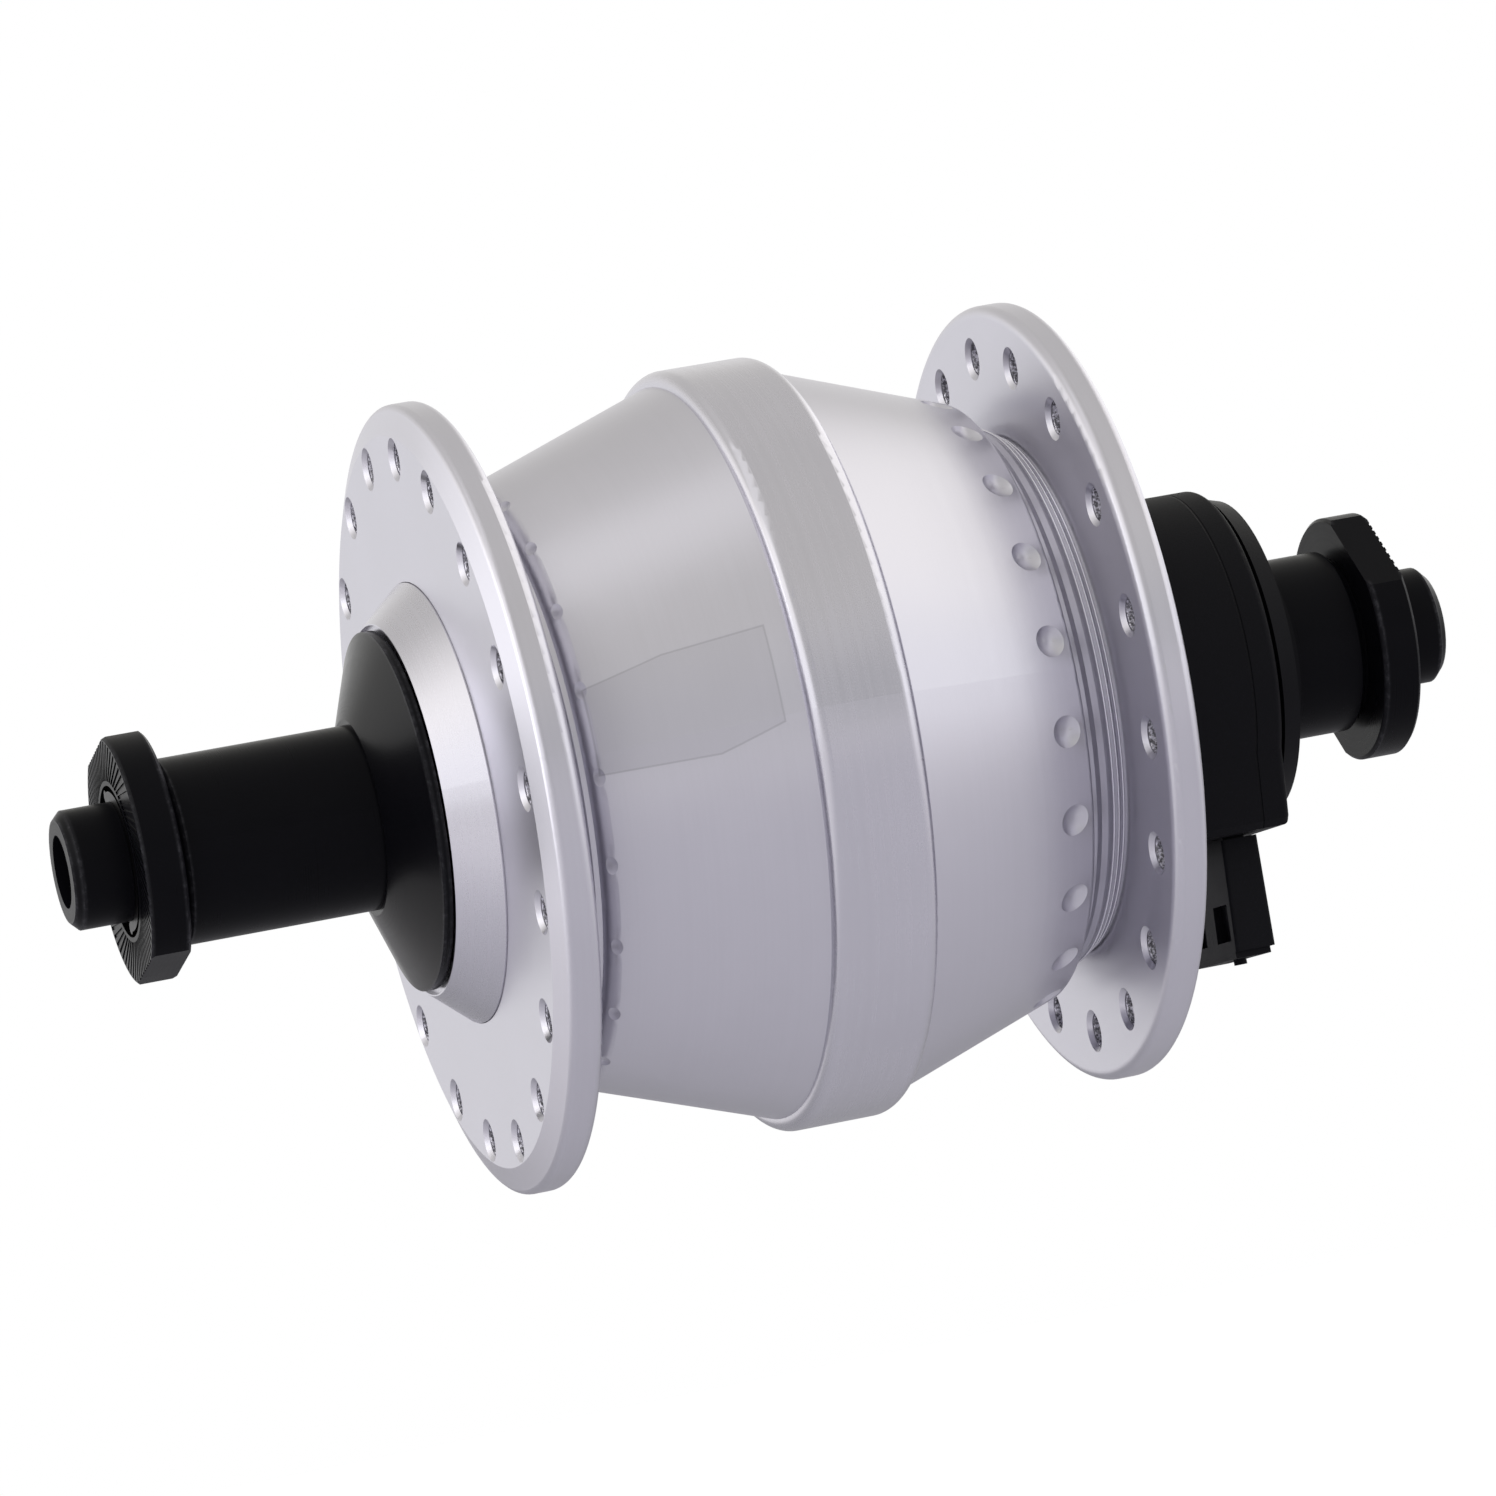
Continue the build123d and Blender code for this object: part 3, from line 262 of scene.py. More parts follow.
def turned_metal(name, color, roughness, mark_depth, panel=False):
    """Return a turned metal with lathe marks, a fine grain and slow changes of shade."""
    finish = Finish(name, Metallic=1.0)
    coarse = finish.turning(size=0.45, detail=3.0)
    fine = finish.turning(size=0.09)
    grain = finish.noise(size=0.07, detail=1.0)
    cloud = finish.noise(size=9.0, detail=3.0)
    height = fine * 0.5 + coarse * 0.35 + grain * 0.3
    rough = roughness + (coarse - 0.5) * 0.10 + (cloud - 0.5) * 0.10 + (grain - 0.5) * 0.06
    shade = cloud * 0.45 + coarse * 0.3 + grain * 0.25
    base = finish.tint(scaled(color, 0.90), scaled(color, 1.08), shade)
    if panel:
        inside, line = etched_panel(finish)
        rough = rough + inside * 0.06
        height = height - inside * 0.8 - line * 0.8
        mark = (inside * 0.30 + line * 0.60).math("MINIMUM", 1.0)
        base = finish.tint(base, scaled(color, 0.72), mark)
    finish.feed("Base Color", base)
    finish.feed("Roughness", rough)
    finish.relief(height, mark_depth)
    return finish.material


def worn_edges(finish, edges):
    """Return a mask that is 1 on edges given as a radius and places along the axle."""
    masks = []
    start, end = [reach * MM for reach in WEAR_REACH]
    for radius, places in edges:
        near_radius = 1 - abs(finish.radius - radius * MM).step(start, end)
        for place in places:
            masks.append(near_radius * (1 - abs(finish.y - place * MM).step(start, end)))
    wear = masks[0]
    for mask in masks[1:]:
        wear = mask.math("MAXIMUM", wear)
    return wear


def black_finish(name, color, roughness, mark_depth, edges, specular=0.05):
    """Return a black anodised or oxidised metal, a little worn on its edges."""
    finish = Finish(name, Metallic=0.0, Specular_IOR_Level=specular)
    marks = finish.turning(size=0.16, detail=3.0)
    grain = finish.noise(size=0.10)
    cloud = finish.noise(size=5.0, detail=3.0)
    rough = roughness + (cloud - 0.5) * 0.12 + (marks - 0.5) * 0.10
    shade = cloud * 0.5 + grain * 0.3 + marks * 0.2
    base = finish.tint(scaled(color, 0.75), scaled(color, 1.6), shade)
    scuffs = finish.noise(size=0.6, detail=4.0, roughness=0.7).step(0.45, 0.75)
    worn = worn_edges(finish, edges) * (0.25 + scuffs * 0.75) * WEAR_AMOUNT
    finish.feed("Base Color", finish.tint(base, WORN_COLOR, worn))
    finish.feed("Roughness", rough)
    finish.relief(marks * 0.7 + grain * 0.5, mark_depth)
    return finish.material


def moulded_plastic(name, color, roughness, grain_size=0.14, depth=0.012, specular=0.07, seam=None):
    """Return a plastic with a fine spark-eroded texture, and a parting line if its place is given."""
    finish = Finish(name, Metallic=0.0, Specular_IOR_Level=specular)
    cells = finish.add(
        "ShaderNodeTexVoronoi",
        {"feature": "SMOOTH_F1"},
        {"Vector": finish.place, "Scale": 1 / (grain_size * MM), "Smoothness": 0.6},
    )
    grain = finish.noise(size=0.5 * grain_size)
    cloud = finish.noise(size=4.0, detail=3.0)
    rough = roughness + (cloud - 0.5) * 0.10 + (grain - 0.5) * 0.08
    shade = cloud * 0.6 + grain * 0.4
    height = cells * 0.6 + grain * 0.4
    if seam is not None:
        line = 1 - abs(finish.y - seam * MM).step(PARTING_WIDTH[0] * MM, PARTING_WIDTH[1] * MM)
        shade = shade - line * PARTING_SHADE
        height = height - line * PARTING_DEPTH
    finish.feed("Base Color", finish.tint(scaled(color, 0.8), scaled(color, 1.35), shade))
    finish.feed("Roughness", rough)
    finish.relief(height, depth)
    return finish.material


def plain_metal(name, color, roughness, size=0.25, metallic=1.0):
    """Return a plain worked metal with marks and stains, for the pieces inside."""
    finish = Finish(name, Metallic=metallic)
    marks = finish.turning(size, detail=3.0)
    cloud = finish.noise(size=2.5, detail=4.0, roughness=0.6)
    shade = cloud * 0.6 + marks * 0.4
    finish.feed("Base Color", finish.tint(scaled(color, 0.78), scaled(color, 1.12), shade))
    finish.feed("Roughness", roughness + (cloud - 0.5) * 0.18 + (marks - 0.5) * 0.12)
    finish.relief(marks + cloud * 0.3, depth=0.004)
    return finish.material


def drilled_metal(name, color, roughness):
    """Return the crumbly metal of a drilled wall, in pits and flakes, with painted shade where the flakes
    sink and painted glints where they rise.
    """
    finish = Finish(name, Metallic=1.0)
    flakes_and_painted_glints = finish.noise(size=0.22, detail=3.0, roughness=0.6)
    pits = finish.noise(size=0.55)
    # Painted light: the colour is dark where the flakes sink and bright where they rise, as painted shade
    # and painted glints.
    shade = flakes_and_painted_glints.step(0.40, 0.62)
    finish.feed("Base Color", finish.tint(scaled(color, 0.30), scaled(color, 1.35), shade))
    finish.feed("Roughness", roughness + (pits - 0.5) * 0.3)
    finish.relief(flakes_and_painted_glints * 0.6 + pits * 0.4, depth=0.10)
    return finish.material


def wound_copper(name, color, turn):
    """Return enamelled wire, with one rounded turn after another along the axle, its colour darker in the
    grooves between turns as painted shade.
    """
    finish = Finish(name, Metallic=1.0, Coat_Roughness=0.15)
    phase = (finish.y / (turn * MM)).math("FRACT") - 0.5
    turn_bulge_and_painted_shade = 1 - phase * phase * 4
    cloud = finish.noise(size=1.5, detail=3.0)
    # Painted shade: the colour darkens from the crown of each turn down into the groove between turns.
    shade = turn_bulge_and_painted_shade * 0.6 + cloud * 0.4
    finish.feed("Base Color", finish.tint(scaled(color, 0.5), scaled(color, 1.1), shade))
    finish.feed("Roughness", 0.3 + (cloud - 0.5) * 0.15)
    finish.feed("Coat Weight", 0.4 + cloud * 0.4)
    finish.relief(turn_bulge_and_painted_shade, depth=0.12)
    return finish.material


def dress(material, *names):
    """Give CAD nodes a material."""
    for name in names:
        slots = nodes[name].data.materials
        slots.clear()
        slots.append(material)


def geometry_tree(name, *sizes):
    """Start a Geometry Nodes tree with a count, sizes and a material, and return its graph and inputs."""
    tree = bpy.data.node_groups.new(name, "GeometryNodeTree")
    tree.interface.new_socket("Geometry", in_out="OUTPUT", socket_type="NodeSocketGeometry")
    kinds = {"Count": "NodeSocketInt", **dict.fromkeys(sizes, "NodeSocketFloat")}
    kinds["Material"] = "NodeSocketMaterial"
    for label, kind in kinds.items():
        tree.interface.new_socket(label, in_out="INPUT", socket_type=kind)
    graph = Graph(tree)
    entry = tree.nodes.new("NodeGroupInput")
    return graph, {label: Wire(graph, entry.outputs[label]) for label in kinds}


def finish_tree(graph, geometry, material):
    """End a tree with Realize Instances and Set Material."""
    real = graph.add("GeometryNodeRealizeInstances", inputs=[geometry])
    smooth = graph.add("GeometryNodeSetShadeSmooth", inputs=[real])
    done = graph.add("GeometryNodeSetMaterial", inputs={"Geometry": smooth, "Material": material})
    exit_node = graph.tree.nodes.new("NodeGroupOutput")
    graph.tree.links.new(done.socket, exit_node.inputs[0])


def grow(name, tree, values, body):
    """Run a geometry tree with its values, keep the result as a plain mesh and make it ride."""
    seed = link(name + "_seed", bpy.data.meshes.new(name + "_seed"))
    modifier = seed.modifiers.new("Build", "NODES")
    modifier.node_group = tree
    for item in tree.interface.items_tree:
        if item.in_out == "INPUT":
            modifier[item.identifier] = values[item.name]
    bpy.context.view_layer.update()
    graph = bpy.context.evaluated_depsgraph_get()
    mesh = bpy.data.meshes.new_from_object(seed.evaluated_get(graph), depsgraph=graph)
    bpy.data.objects.remove(seed)
    mesh.name = name
    if not mesh.polygons:
        raise RuntimeError(f"{name} came out empty")
    piece = link(name, mesh)
    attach(piece, body)


def along_axle(graph, geometry, turn, place):
    """Turn a shape that stands on Z so that it stands on the axle, at an angle and a place."""
    spin = graph.add("ShaderNodeCombineXYZ", inputs=[0.0, 0.0, turn])
    turned = graph.add("GeometryNodeTransform", inputs={"Geometry": geometry, "Rotation": spin})
    shift = graph.add("ShaderNodeCombineXYZ", inputs=[0.0, place, 0.0])
    inputs = {"Geometry": turned, "Rotation": (-pi / 2, 0.0, 0.0), "Translation": shift}
    return graph.add("GeometryNodeTransform", inputs=inputs)


def circle(graph, segments, radius):
    """Return a circle as a curve."""
    inputs = {"Resolution": segments, "Radius": radius}
    return graph.add("GeometryNodeCurvePrimitiveCircle", {"mode": "RADIUS"}, inputs)


def ring_tree():
    """Return the tree of the neck's fine rings: circles that widen step by step, with a round section."""
    graph, size = geometry_tree(
        "neck_rings", "First radius", "Last radius", "First place", "Last place", "Section radius"
    )
    steps = size["Count"] - 1
    rise = (size["Last place"] - size["First place"]) / steps
    offset = graph.add("ShaderNodeCombineXYZ", inputs=[0.0, 0.0, rise])
    inputs = {"Count": size["Count"], "Start Location": (0.0, 0.0, 0.0), "Offset": offset}
    line = graph.add("GeometryNodeMeshLine", {"mode": "OFFSET"}, inputs)
    share = graph.add("GeometryNodeInputIndex") / steps
    radius = size["First radius"] + share * (size["Last radius"] - size["First radius"])
    width = graph.add("ShaderNodeCombineXYZ", inputs=[radius, radius, 1.0])
    inputs = {"Points": line, "Instance": circle(graph, RING_SEGMENTS, 1.0), "Scale": width}
    circles = graph.add("GeometryNodeInstanceOnPoints", inputs=inputs)
    real = graph.add("GeometryNodeRealizeInstances", inputs=[circles])
    section = circle(graph, RING_SECTION_SEGMENTS, size["Section radius"])
    rings = graph.add("GeometryNodeCurveToMesh", inputs={"Curve": real, "Profile Curve": section})
    placed = along_axle(graph, rings, 0.0, size["First place"])
    finish_tree(graph, placed, size["Material"])
    return graph.tree


def hole_tree():
    """Return the tree of the drilled walls in the spoke holes: rough thin sleeves on the pitch circle."""
    graph, size = geometry_tree(
        "spoke_hole_walls",
        "Pitch radius",
        "First angle",
        "Place",
        "Hole radius",
        "Wall",
        "Length",
        "Roughness",
    )
    pitch = circle(graph, size["Count"], size["Pitch radius"])
    path = circle(graph, HOLE_SEGMENTS, size["Hole radius"] - size["Wall"] * 0.5)
    inputs = {"Width": size["Wall"], "Height": size["Length"]}
    section = graph.add("GeometryNodeCurvePrimitiveQuadrilateral", {"mode": "RECTANGLE"}, inputs)
    fine = graph.add("GeometryNodeResampleCurve", inputs={"Curve": section, "Count": WALL_POINTS})
    sleeve = graph.add("GeometryNodeCurveToMesh", inputs={"Curve": path, "Profile Curve": fine})
    sleeves = graph.add("GeometryNodeInstanceOnPoints", inputs={"Points": pitch, "Instance": sleeve})
    real = graph.add("GeometryNodeRealizeInstances", inputs=[sleeves])
    inputs = {"Scale": WALL_NOISE_SCALE, "Detail": WALL_NOISE_DETAIL}
    push = (graph.add("ShaderNodeTexNoise", inputs=inputs) - WALL_NOISE_MIDDLE) * size["Roughness"]
    normal = graph.add("GeometryNodeInputNormal")
    offset = graph.add("ShaderNodeVectorMath", {"operation": "SCALE"}, {0: normal, "Scale": push})
    rough = graph.add("GeometryNodeSetPosition", inputs={"Geometry": real, "Offset": offset})
    placed = along_axle(graph, rough, size["First angle"] - pi / 2, size["Place"])
    finish_tree(graph, placed, size["Material"])
    return graph.tree


def length_setting(name, description, default):
    """Return a length property with its default in millimetres."""
    return FloatProperty(
        name=name, description=description, unit="LENGTH", default=default * MM, precision=6
    )


def factor_setting(name, description, default):
    """Return a property from 0 to 1."""
    return FloatProperty(
        name=name, description=description, subtype="FACTOR", default=default, min=0, max=1
    )


def color_setting(name, description, default):
    """Return a colour property."""
    return FloatVectorProperty(
        name=name, description=description, subtype="COLOR", default=default, min=0, max=1
    )


def power_setting(name, description, default):
    """Return a property for a lamp's power in watts."""
    return FloatProperty(name=name, description=description, unit="POWER", default=default)


class FinishSettings(PropertyGroup):
    """Colours and gloss of the hub's surfaces."""

    silver: color_setting("Silver", "Colour of the anodised shell", (0.60, 0.59, 0.65))
    silver_roughness: factor_setting("Shell roughness", "How dull the shell is", 0.34)
    band_roughness: factor_setting("Band roughness", "How dull the centre band is", 0.26)
    cap_roughness: factor_setting("Cap roughness", "How dull the end caps are", 0.28)
    black: color_setting("Black", "Colour of the black axle parts", (0.003, 0.003, 0.0042))
    black_roughness: factor_setting("Black roughness", "How dull the black metal is", 0.30)
    cover_roughness: factor_setting("Cover roughness", "How dull the flared cover is", 0.24)
    plastic: color_setting("Plastic", "Colour of the connector and plug", (0.0045, 0.0045, 0.006))
    plastic_roughness: factor_setting("Plastic roughness", "How dull the connector is", 0.55)


class DetailSettings(PropertyGroup):
    """Sizes of the turned rings, the drilled walls and the coil's wire."""

    ring_count: IntProperty(
        name="Rings", description="Fine rings on each neck", default=3, min=2, max=20
    )
    ring_section: length_setting("Ring section", "Radius of a ring's section", 0.10)
    ring_first_radius: length_setting(
        "First ring", "Radius of the ring farthest from the flange", 20.75
    )
    ring_last_radius: length_setting("Last ring", "Radius of the ring beside the flange", 20.12)
    left_first_place: length_setting(
        "Left first place", "Place of the first ring on the left neck", 20.9
    )
    right_first_place: length_setting(
        "Right first place", "Place of the first ring on the right neck", 20.6
    )
    ring_last_place: length_setting("Last place", "Place of the ring beside the flange", 21.6)
    hole_count: IntProperty(
        name="Spoke holes", description="Spoke holes in each flange", default=18, min=3, max=40
    )
    hole_pitch_radius: length_setting("Pitch radius", "Radius of the spoke holes' circle", 26.05)
    hole_radius: length_setting("Hole radius", "Radius of a spoke hole", 1.285)
    hole_wall: length_setting("Drilled wall", "Thickness of the rough drilled wall", 0.08)
    hole_length: length_setting("Wall length", "Length of the drilled wall", 2.45)
    hole_roughness: length_setting("Drill marks", "Depth of the marks on the wall", 0.34)
    left_angle: FloatProperty(
        name="Left angle",
        description="Angle of the left flange's first hole",
        subtype="ANGLE",
        default=radians(13.9),
    )
    right_angle: FloatProperty(
        name="Right angle",
        description="Angle of the right flange's first hole",
        subtype="ANGLE",
        default=radians(3.8),
    )
    flange_middle: length_setting("Flange middle", "Place of a flange's middle", 23.525)
    coil_turn: FloatProperty(
        name="Wire pitch", description="Millimetres for one turn of the coil's wire", default=0.55
    )


class StudioSettings(PropertyGroup):
    """Camera, lamps, room and floor."""

    focal: FloatProperty(
        name="Focal length", description="Focal length in millimetres", default=185.14
    )
    key_power: power_setting("Key power", "Power of the key lamp", 0.45)
    fill_power: power_setting("Fill power", "Power of the fill lamp", 0.3)
    rim_power: power_setting("Rim power", "Power of the lamp behind", 0.6)
    ambient: factor_setting("Ambient", "Strength of the room's light", 0.9)
    mirrored: factor_setting("Mirrored room", "Strength of the room in reflections", 0.72)
    right_card: factor_setting("Right card", "What the card at the connector end adds", 0.40)
    right_top_card: factor_setting(
        "Right top card", "What the card above the connector end adds", 0.40
    )
    left_card: factor_setting("Left card", "What the card at the plain end adds", 0.70)
    back_card: factor_setting("Back card", "What the card behind adds", 0.22)
    top_card: factor_setting("Top card", "What the card overhead adds", 0.08)
    dark_card: factor_setting("Dark card", "What the dark card in front takes away", 0.14)
    floor_drop: length_setting("Floor drop", "How far the floor lies below the axle", 160.0)


class HUB_OT_shell(Operator):
    """Finish the two halves of the shell"""

    bl_idname = "hub.shell"
    bl_label = "Shell"

    def execute(self, context):
        look = context.scene.hub_finish
        for side, _ in SIDES:
            name = f"{side}_shell_satin"
            panel = side == "left"
            material = turned_metal(
                name, look.silver, look.silver_roughness, mark_depth=0.0035, panel=panel
            )
            dress(material, f"hub_shell_{side}")
        return {"FINISHED"}


class HUB_OT_band(Operator):
    """Finish the centre band and the seal under it"""

    bl_idname = "hub.band"
    bl_label = "Centre band"

    def execute(self, context):
        look = context.scene.hub_finish
        band = turned_metal("band_polish", look.silver, look.band_roughness, mark_depth=0.002)
        dress(band, "centre_band")
        dress(moulded_plastic("seal_rubber", RUBBER, roughness=0.7), "shell_joint_seal")
        return {"FINISHED"}


class HUB_OT_end_caps(Operator):
    """Finish the end caps and their seals"""

    bl_idname = "hub.end_caps"
    bl_label = "End caps"

    def execute(self, context):
        look = context.scene.hub_finish
        cap = turned_metal("cap_turned", look.silver, look.cap_roughness, mark_depth=0.006)
        dress(cap, "left_end_cap", "right_end_cap")
        lip = moulded_plastic("lip_rubber", RUBBER, roughness=0.6)
        dress(lip, "left_axle_seal", "right_axle_seal")
        return {"FINISHED"}


class HUB_OT_neck_rings(Operator):
    """Build the fine turned rings on the shell's necks"""

    bl_idname = "hub.neck_rings"
    bl_label = "Neck rings"

    def execute(self, context):
        look = context.scene.hub_finish
        size = context.scene.hub_detail
        silver = scaled(look.silver, 1.15)
        material = turned_metal("ring_bright", silver, roughness=0.18, mark_depth=0.001)
        tree = ring_tree()
        first_places = (size.left_first_place, size.right_first_place)
        for (side, sign), first_place in zip(SIDES, first_places):
            values = {
                "Count": size.ring_count,
                "First radius": size.ring_first_radius,
                "Last radius": size.ring_last_radius,
                "First place": sign * first_place,
                "Last place": sign * size.ring_last_place,
                "Section radius": size.ring_section,
                "Material": material,
            }
            grow(f"{side}_neck_rings", tree, values, "hub_body")
        return {"FINISHED"}


class HUB_OT_spoke_holes(Operator):
    """Build the rough drilled walls of the spoke holes"""

    bl_idname = "hub.spoke_holes"
    bl_label = "Spoke holes"

    def execute(self, context):
        look = context.scene.hub_finish
        size = context.scene.hub_detail
        material = drilled_metal("hole_wall", look.silver, roughness=0.5)
        tree = hole_tree()
        for (side, sign), angle in zip(SIDES, (size.left_angle, size.right_angle)):
            values = {
                "Count": size.hole_count,
                "Pitch radius": size.hole_pitch_radius,
                "First angle": angle,
                "Place": sign * size.flange_middle,
                "Hole radius": size.hole_radius,
                "Wall": size.hole_wall,
                "Length": size.hole_length,
                "Roughness": size.hole_roughness,
                "Material": material,
            }
            grow(f"{side}_spoke_hole_walls", tree, values, "hub_body")
        return {"FINISHED"}


class HUB_OT_axle(Operator):
    """Finish the axle, its locknuts and its clips"""

    bl_idname = "hub.axle"
    bl_label = "Axle and locknuts"

    def execute(self, context):
        look = context.scene.hub_finish
        black, roughness = look.black, look.black_roughness
        axle = black_finish("axle_black", black, roughness, mark_depth=0.004, edges=AXLE_EDGES)
        dress(axle, "axle")
        nut = black_finish("locknut_black", black, roughness, mark_depth=0.004, edges=LOCKNUT_EDGES)
        dress(nut, "left_locknut", "right_locknut")
        clip = plain_metal("clip_steel", CLIP_STEEL, roughness=0.4)
        dress(clip, "left_axle_clip", "right_axle_clip")
        return {"FINISHED"}


class HUB_OT_sleeves(Operator):
    """Finish the sleeves and the cone cover"""

    bl_idname = "hub.sleeves"
    bl_label = "Sleeves and cone cover"

    def execute(self, context):
        look = context.scene.hub_finish
        black = look.black
        sleeve = black_finish(
            "sleeve_black", black, look.black_roughness, mark_depth=0.003, edges=SLEEVE_EDGES
        )
        dress(sleeve, "left_spacer_sleeve", "right_spacer_sleeve")
        cover = black_finish(
            "cover_black",
            black,
            look.cover_roughness,
            mark_depth=0.003,
            edges=COVER_EDGES,
            specular=0.09,
        )
        dress(cover, "left_cone_cover")
        return {"FINISHED"}


class HUB_OT_connector(Operator):
    """Finish the connector's housing, disc and blades"""

    bl_idname = "hub.connector"
    bl_label = "Connector"

    def execute(self, context):
        look = context.scene.hub_finish
        housing = moulded_plastic(
            "housing_plastic", look.plastic, look.plastic_roughness, seam=PARTING_PLACE
        )
        dress(housing, "connector_base", "connector_cover")
        disc = moulded_plastic(
            "disc_plastic", look.plastic, roughness=0.38, grain_size=0.2, depth=0.006
        )
        dress(disc, "connector_disc")
        dress(plain_metal("blade_brass", BRASS, roughness=0.3), "connector_blades")
        dress(plain_metal("spacer_zinc", SPACER_ZINC, roughness=0.35), "connector_spacer")
        return {"FINISHED"}


class HUB_OT_plug(Operator):
    """Finish the plug, its cap and its contacts"""

    bl_idname = "hub.plug"
    bl_label = "Plug"

    def execute(self, context):
        look = context.scene.hub_finish
        color = scaled(look.plastic, 1.2)
        plug = moulded_plastic("plug_plastic", color, roughness=0.5, grain_size=0.12)
        dress(plug, "plug_body", "plug_cap")
        dress(plain_metal("contact_brass", BRASS, roughness=0.28), "plug_contacts")
        return {"FINISHED"}


class HUB_OT_bearings(Operator):
    """Finish the two ball bearings"""

    bl_idname = "hub.bearings"
    bl_label = "Bearings"

    def execute(self, context):
        race = plain_metal("race_steel", RACE_STEEL, roughness=0.16, size=0.08)
        sheet = plain_metal("shield_steel", SHIELD_STEEL, roughness=0.32, size=0.2)
        ball = plain_metal("ball_steel", BALL_STEEL, roughness=0.08, size=0.6)
        for side, _ in SIDES:
            dress(race, f"{side}_inner_race", f"{side}_outer_race")
            dress(sheet, f"{side}_bearing_shields", f"{side}_ball_cage")
            dress(ball, f"{side}_bearing_balls")
        return {"FINISHED"}


class HUB_OT_generator(Operator):
    """Finish the generator's rotor, stator, coil and leads"""

    bl_idname = "hub.generator"
    bl_label = "Generator"

    def execute(self, context):
        zinc = plain_metal("zinc_plate", ZINC_PLATE, roughness=0.38)
        dress(zinc, "flux_ring", "stator_washer", "stator_nut", "race_spacer")
        iron = plain_metal("soft_iron", SOFT_IRON, roughness=0.48, size=0.5)
        dress(iron, "stator_core", "stator_claw_left", "stator_claw_right")
        ferrite = plain_metal("ferrite", FERRITE, roughness=0.6, size=0.5, metallic=0.0)
        dress(ferrite, "rotor_magnets")
        bobbin = moulded_plastic(
            "bobbin_plastic",
            BOBBIN_PLASTIC,
            roughness=0.5,
            grain_size=0.3,
            depth=0.01,
            specular=0.5,
        )
        dress(bobbin, "coil_bobbin")
        copper = wound_copper("winding_copper", COPPER, context.scene.hub_detail.coil_turn)
        dress(copper, "coil_winding")
        dress(plain_metal("lead_copper", COPPER, roughness=0.32), "coil_leads")
        return {"FINISHED"}


def link(name, data):
    """Put new data into the scene and return its object."""
    thing = bpy.data.objects.new(name, data)
    bpy.context.scene.collection.objects.link(thing)
    return thing


def lamp(name, watts, place, size, color=WHITE):
    """Add one area lamp that looks at the hub."""
    data = bpy.data.lights.new(name, "AREA")
    data.shape = "RECTANGLE"
    data.size, data.size_y = size
    data.energy = watts
    data.color = color
    thing = link(name, data)
    thing.location = place
    thing.rotation_euler = (-Vector(place)).to_track_quat("-Z", "Y").to_euler()


def build_camera(studio):
    """Add the camera at the photograph's place."""
    data = bpy.data.cameras.new("camera")
    data.sensor_fit = "HORIZONTAL"
    data.sensor_width = SENSOR_WIDTH
    data.lens = studio.focal
    data.clip_start, data.clip_end = CLIP_RANGE
    camera = link("camera", data)
    turn = Matrix(CAMERA_AXES).transposed()
    camera.matrix_world = Matrix.Translation(Vector(CAMERA_PLACE) * MM) @ turn.to_4x4()
    bpy.context.scene.camera = camera


def build_room(studio):
    """Set up the room: white where it is seen, and soft cards where metal mirrors it."""
    world = bpy.data.worlds.new("studio")
    world.use_nodes = True
    bpy.context.scene.world = world
    sky = Graph(world.node_tree)
    background = world.node_tree.nodes["Background"]
    seen = sky.add("ShaderNodeLightPath", output="Is Camera Ray")
    glossy = sky.add("ShaderNodeLightPath", output="Is Glossy Ray")
    through = sky.add("ShaderNodeLightPath", output="Is Transmission Ray")

    # Parts of the direction, from -1 to 1: to the front, to the connector end and upwards
    front, along, height = sky.split(sky.add("ShaderNodeTexCoord", output="Generated"))
    low = height.step(-0.5, -0.2) * studio.right_card
    high = height.step(0.15, 0.45) * studio.right_top_card
    right_card = along.step(0.45, 0.65) * (low + high)
    left_side = 1 - along.step(-0.74, -0.47)
    left_card = left_side * height.step(-0.25, 0.05) * (1 - height.step(0.60, 0.80) * 0.6)
    back_card = (1 - front.step(-0.8, -0.2)) * (1 - height.step(0.35, 0.65))
    top_card = height.step(0.75, 0.95) * (1 - along.step(-0.15, 0.20))
    dark_card = front.step(0.72, 0.98) * (1 - abs(height - 0.12).step(0.05, 0.35))
    added = right_card + top_card * studio.top_card + left_card * studio.left_card
    mirrored = (
        studio.mirrored + added + back_card * studio.back_card - dark_card * studio.dark_card
    )

    shown = seen.math("MAXIMUM", through)
    other = glossy * mirrored + (1 - glossy) * studio.ambient
    strength = shown + (1 - shown) * other
    world.node_tree.links.new(strength.socket, background.inputs["Strength"])
    color = sky.tint(WHITE, WARM_WHITE, (1 - shown) * height.step(0.10, 0.60))
    world.node_tree.links.new(color.socket, background.inputs["Color"])


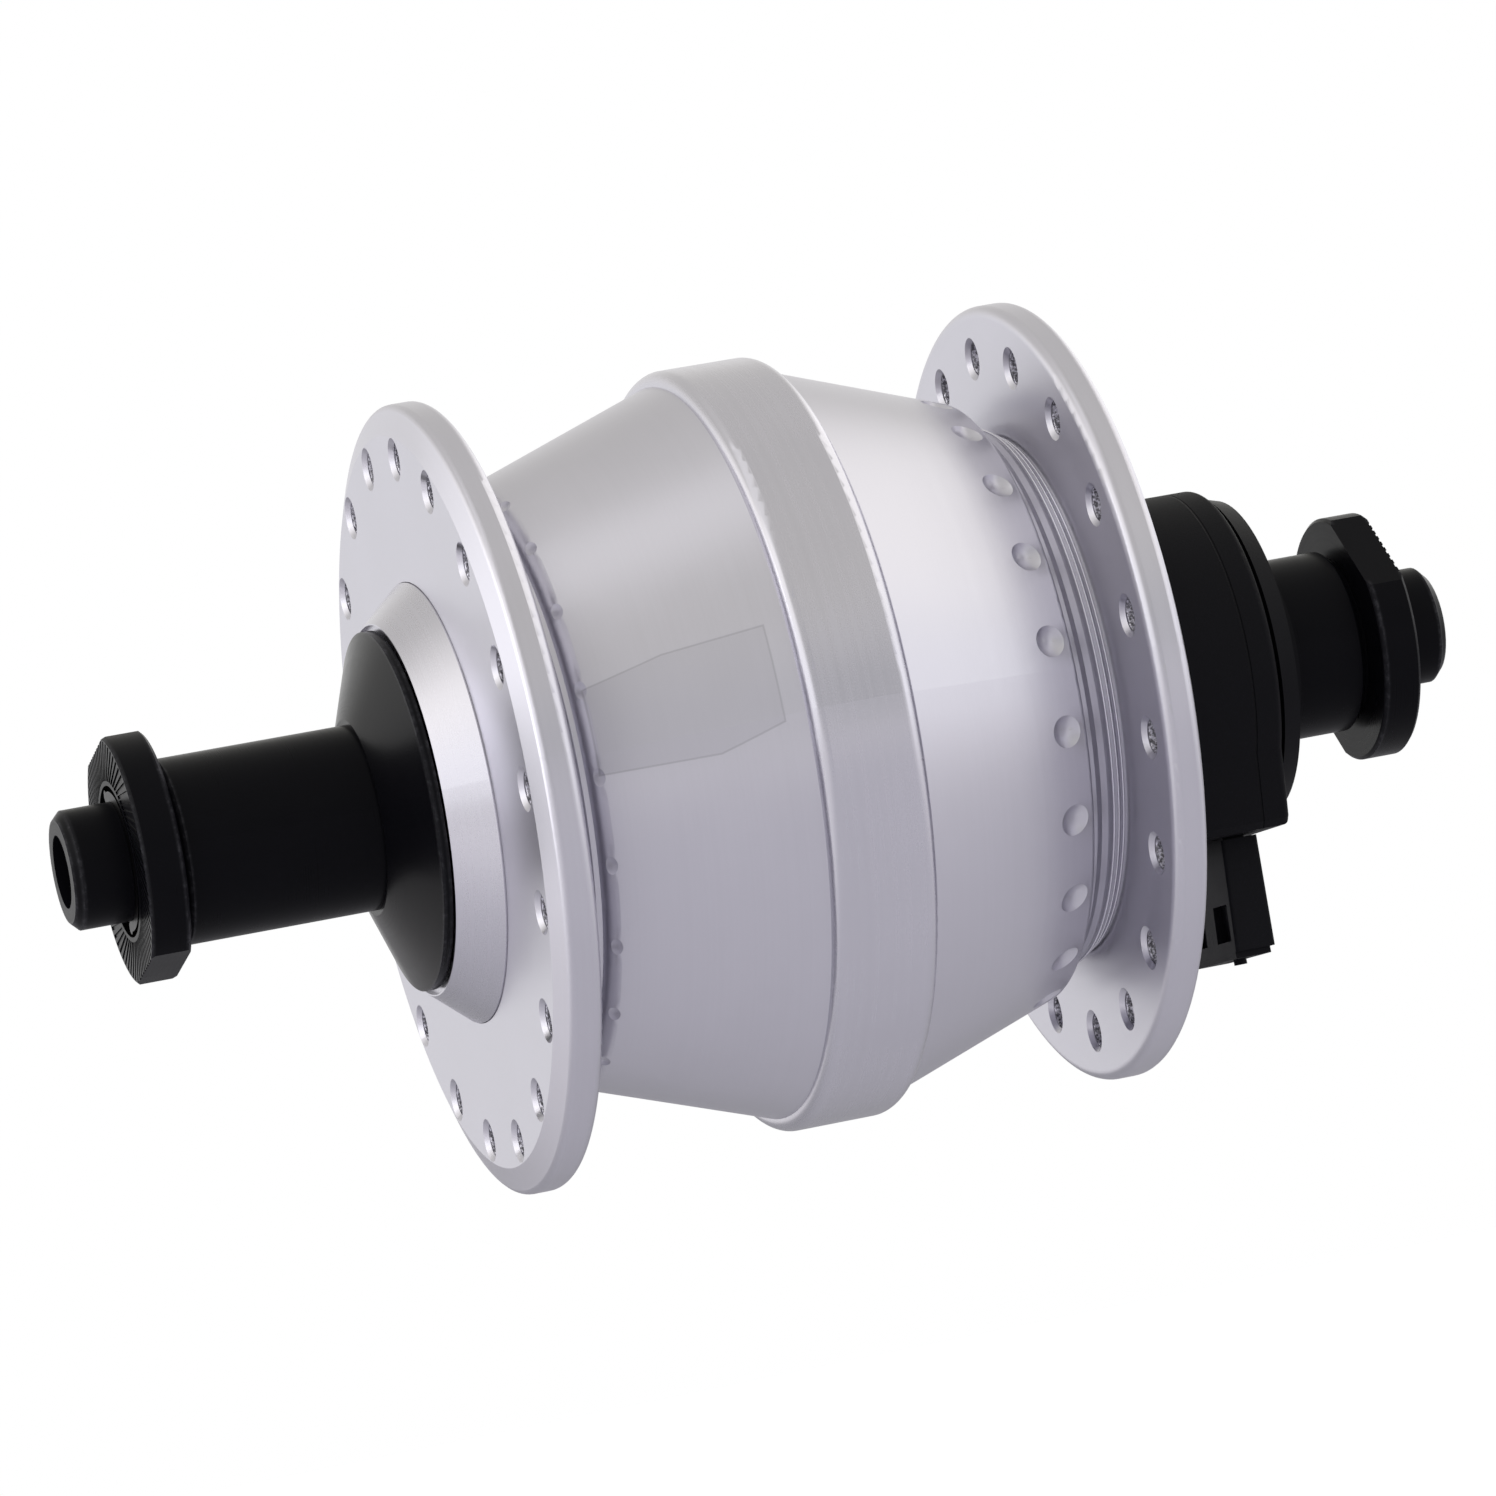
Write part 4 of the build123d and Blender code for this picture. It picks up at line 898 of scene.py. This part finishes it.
def build_floor(studio):
    """Add the pale floor, brighter in front of the hub and at its sides, and painted dark behind it as
    painted shade for what the metal mirrors.
    """
    low = -studio.floor_drop
    signs = ((-1, -1), (1, -1), (1, 1), (-1, 1))
    corners = [(x * FLOOR_HALF, y * FLOOR_HALF, low) for x, y in signs]
    mesh = bpy.data.meshes.new("floor")
    mesh.from_pydata(corners, [], [(0, 1, 2, 3)])
    floor = link("floor", mesh)
    paint = bpy.data.materials.new("floor_white")
    paint.use_nodes = True
    tone = Graph(paint.node_tree)
    shader = paint.node_tree.nodes["Principled BSDF"]
    seen = tone.add("ShaderNodeLightPath", output="Is Camera Ray")
    depth, width, _ = tone.split(tone.add("ShaderNodeTexCoord", output="Object"))
    # Painted shade: the floor darkens behind the hub, so that the metal's lower side mirrors it darker.
    near = depth.step(-0.35, 0.10)
    sides = (near * width.step(0.12, 0.60)).math("MAXIMUM", (width * -1).step(0.12, 0.45))
    color = tone.tint(tone.tint(FLOOR_BEHIND_PAINTED_SHADE, FLOOR_FRONT, near), FLOOR_SIDES, sides)
    grain = tone.add("ShaderNodeTexNoise", inputs={"Scale": 60.0, "Detail": 3.0})
    wires = {
        "Emission Color": FLOOR_GLOW + seen * FLOOR_SEEN_GLOW,
        "Base Color": color,
        "Roughness": 0.86 + grain * 0.06,
    }
    for key, wire in wires.items():
        paint.node_tree.links.new(wire.socket, shader.inputs[key])
    shader.inputs["Emission Strength"].default_value = 1.0
    mesh.materials.append(paint)


class HUB_OT_stage(Operator):
    """Set up the camera, the lamps, the room and the floor"""

    bl_idname = "hub.stage"
    bl_label = "Studio"

    def execute(self, context):
        studio = context.scene.hub_studio
        build_camera(studio)
        lamp("key_lamp", studio.key_power, KEY_PLACE, KEY_SIZE)
        lamp("fill_lamp", studio.fill_power, FILL_PLACE, FILL_SIZE, COOL_WHITE)
        lamp("rim_lamp", studio.rim_power, RIM_PLACE, RIM_SIZE)
        build_room(studio)
        build_floor(studio)
        context.scene.view_settings.view_transform = "Standard"
        return {"FINISHED"}


OPERATORS = (
    HUB_OT_shell,
    HUB_OT_band,
    HUB_OT_end_caps,
    HUB_OT_neck_rings,
    HUB_OT_spoke_holes,
    HUB_OT_axle,
    HUB_OT_sleeves,
    HUB_OT_connector,
    HUB_OT_plug,
    HUB_OT_bearings,
    HUB_OT_generator,
    HUB_OT_stage,
)


class HUB_PT_panel(Panel):
    """Lists the hub's settings and the operators that build it"""

    bl_idname = "HUB_PT_panel"
    bl_label = "Hub dynamo"
    bl_space_type = "VIEW_3D"
    bl_region_type = "UI"
    bl_category = "Hub dynamo"

    def draw(self, context):
        scene = context.scene
        for settings in (scene.hub_finish, scene.hub_detail, scene.hub_studio):
            box = self.layout.box()
            for key in settings.bl_rna.properties.keys():
                if key not in {"rna_type", "name"}:
                    box.prop(settings, key)
        for operator in OPERATORS:
            self.layout.operator(operator.bl_idname)


CLASSES = (FinishSettings, DetailSettings, StudioSettings, *OPERATORS, HUB_PT_panel)


def register():
    """Register the classes and hang the settings on the scene."""
    for item in CLASSES:
        bpy.utils.register_class(item)
    bpy.types.Scene.hub_finish = PointerProperty(type=FinishSettings)
    bpy.types.Scene.hub_detail = PointerProperty(type=DetailSettings)
    bpy.types.Scene.hub_studio = PointerProperty(type=StudioSettings)


def unregister():
    """Take the settings and the classes away again."""
    del bpy.types.Scene.hub_finish
    del bpy.types.Scene.hub_detail
    del bpy.types.Scene.hub_studio
    for item in reversed(CLASSES):
        bpy.utils.unregister_class(item)


def main():
    """Build everything in order."""
    register()
    bpy.ops.hub.shell()
    bpy.ops.hub.band()
    bpy.ops.hub.end_caps()
    bpy.ops.hub.neck_rings()
    bpy.ops.hub.spoke_holes()
    bpy.ops.hub.axle()
    bpy.ops.hub.sleeves()
    bpy.ops.hub.connector()
    bpy.ops.hub.plug()
    bpy.ops.hub.bearings()
    bpy.ops.hub.generator()
    bpy.ops.hub.stage()


if __name__ == "__main__":
    main()
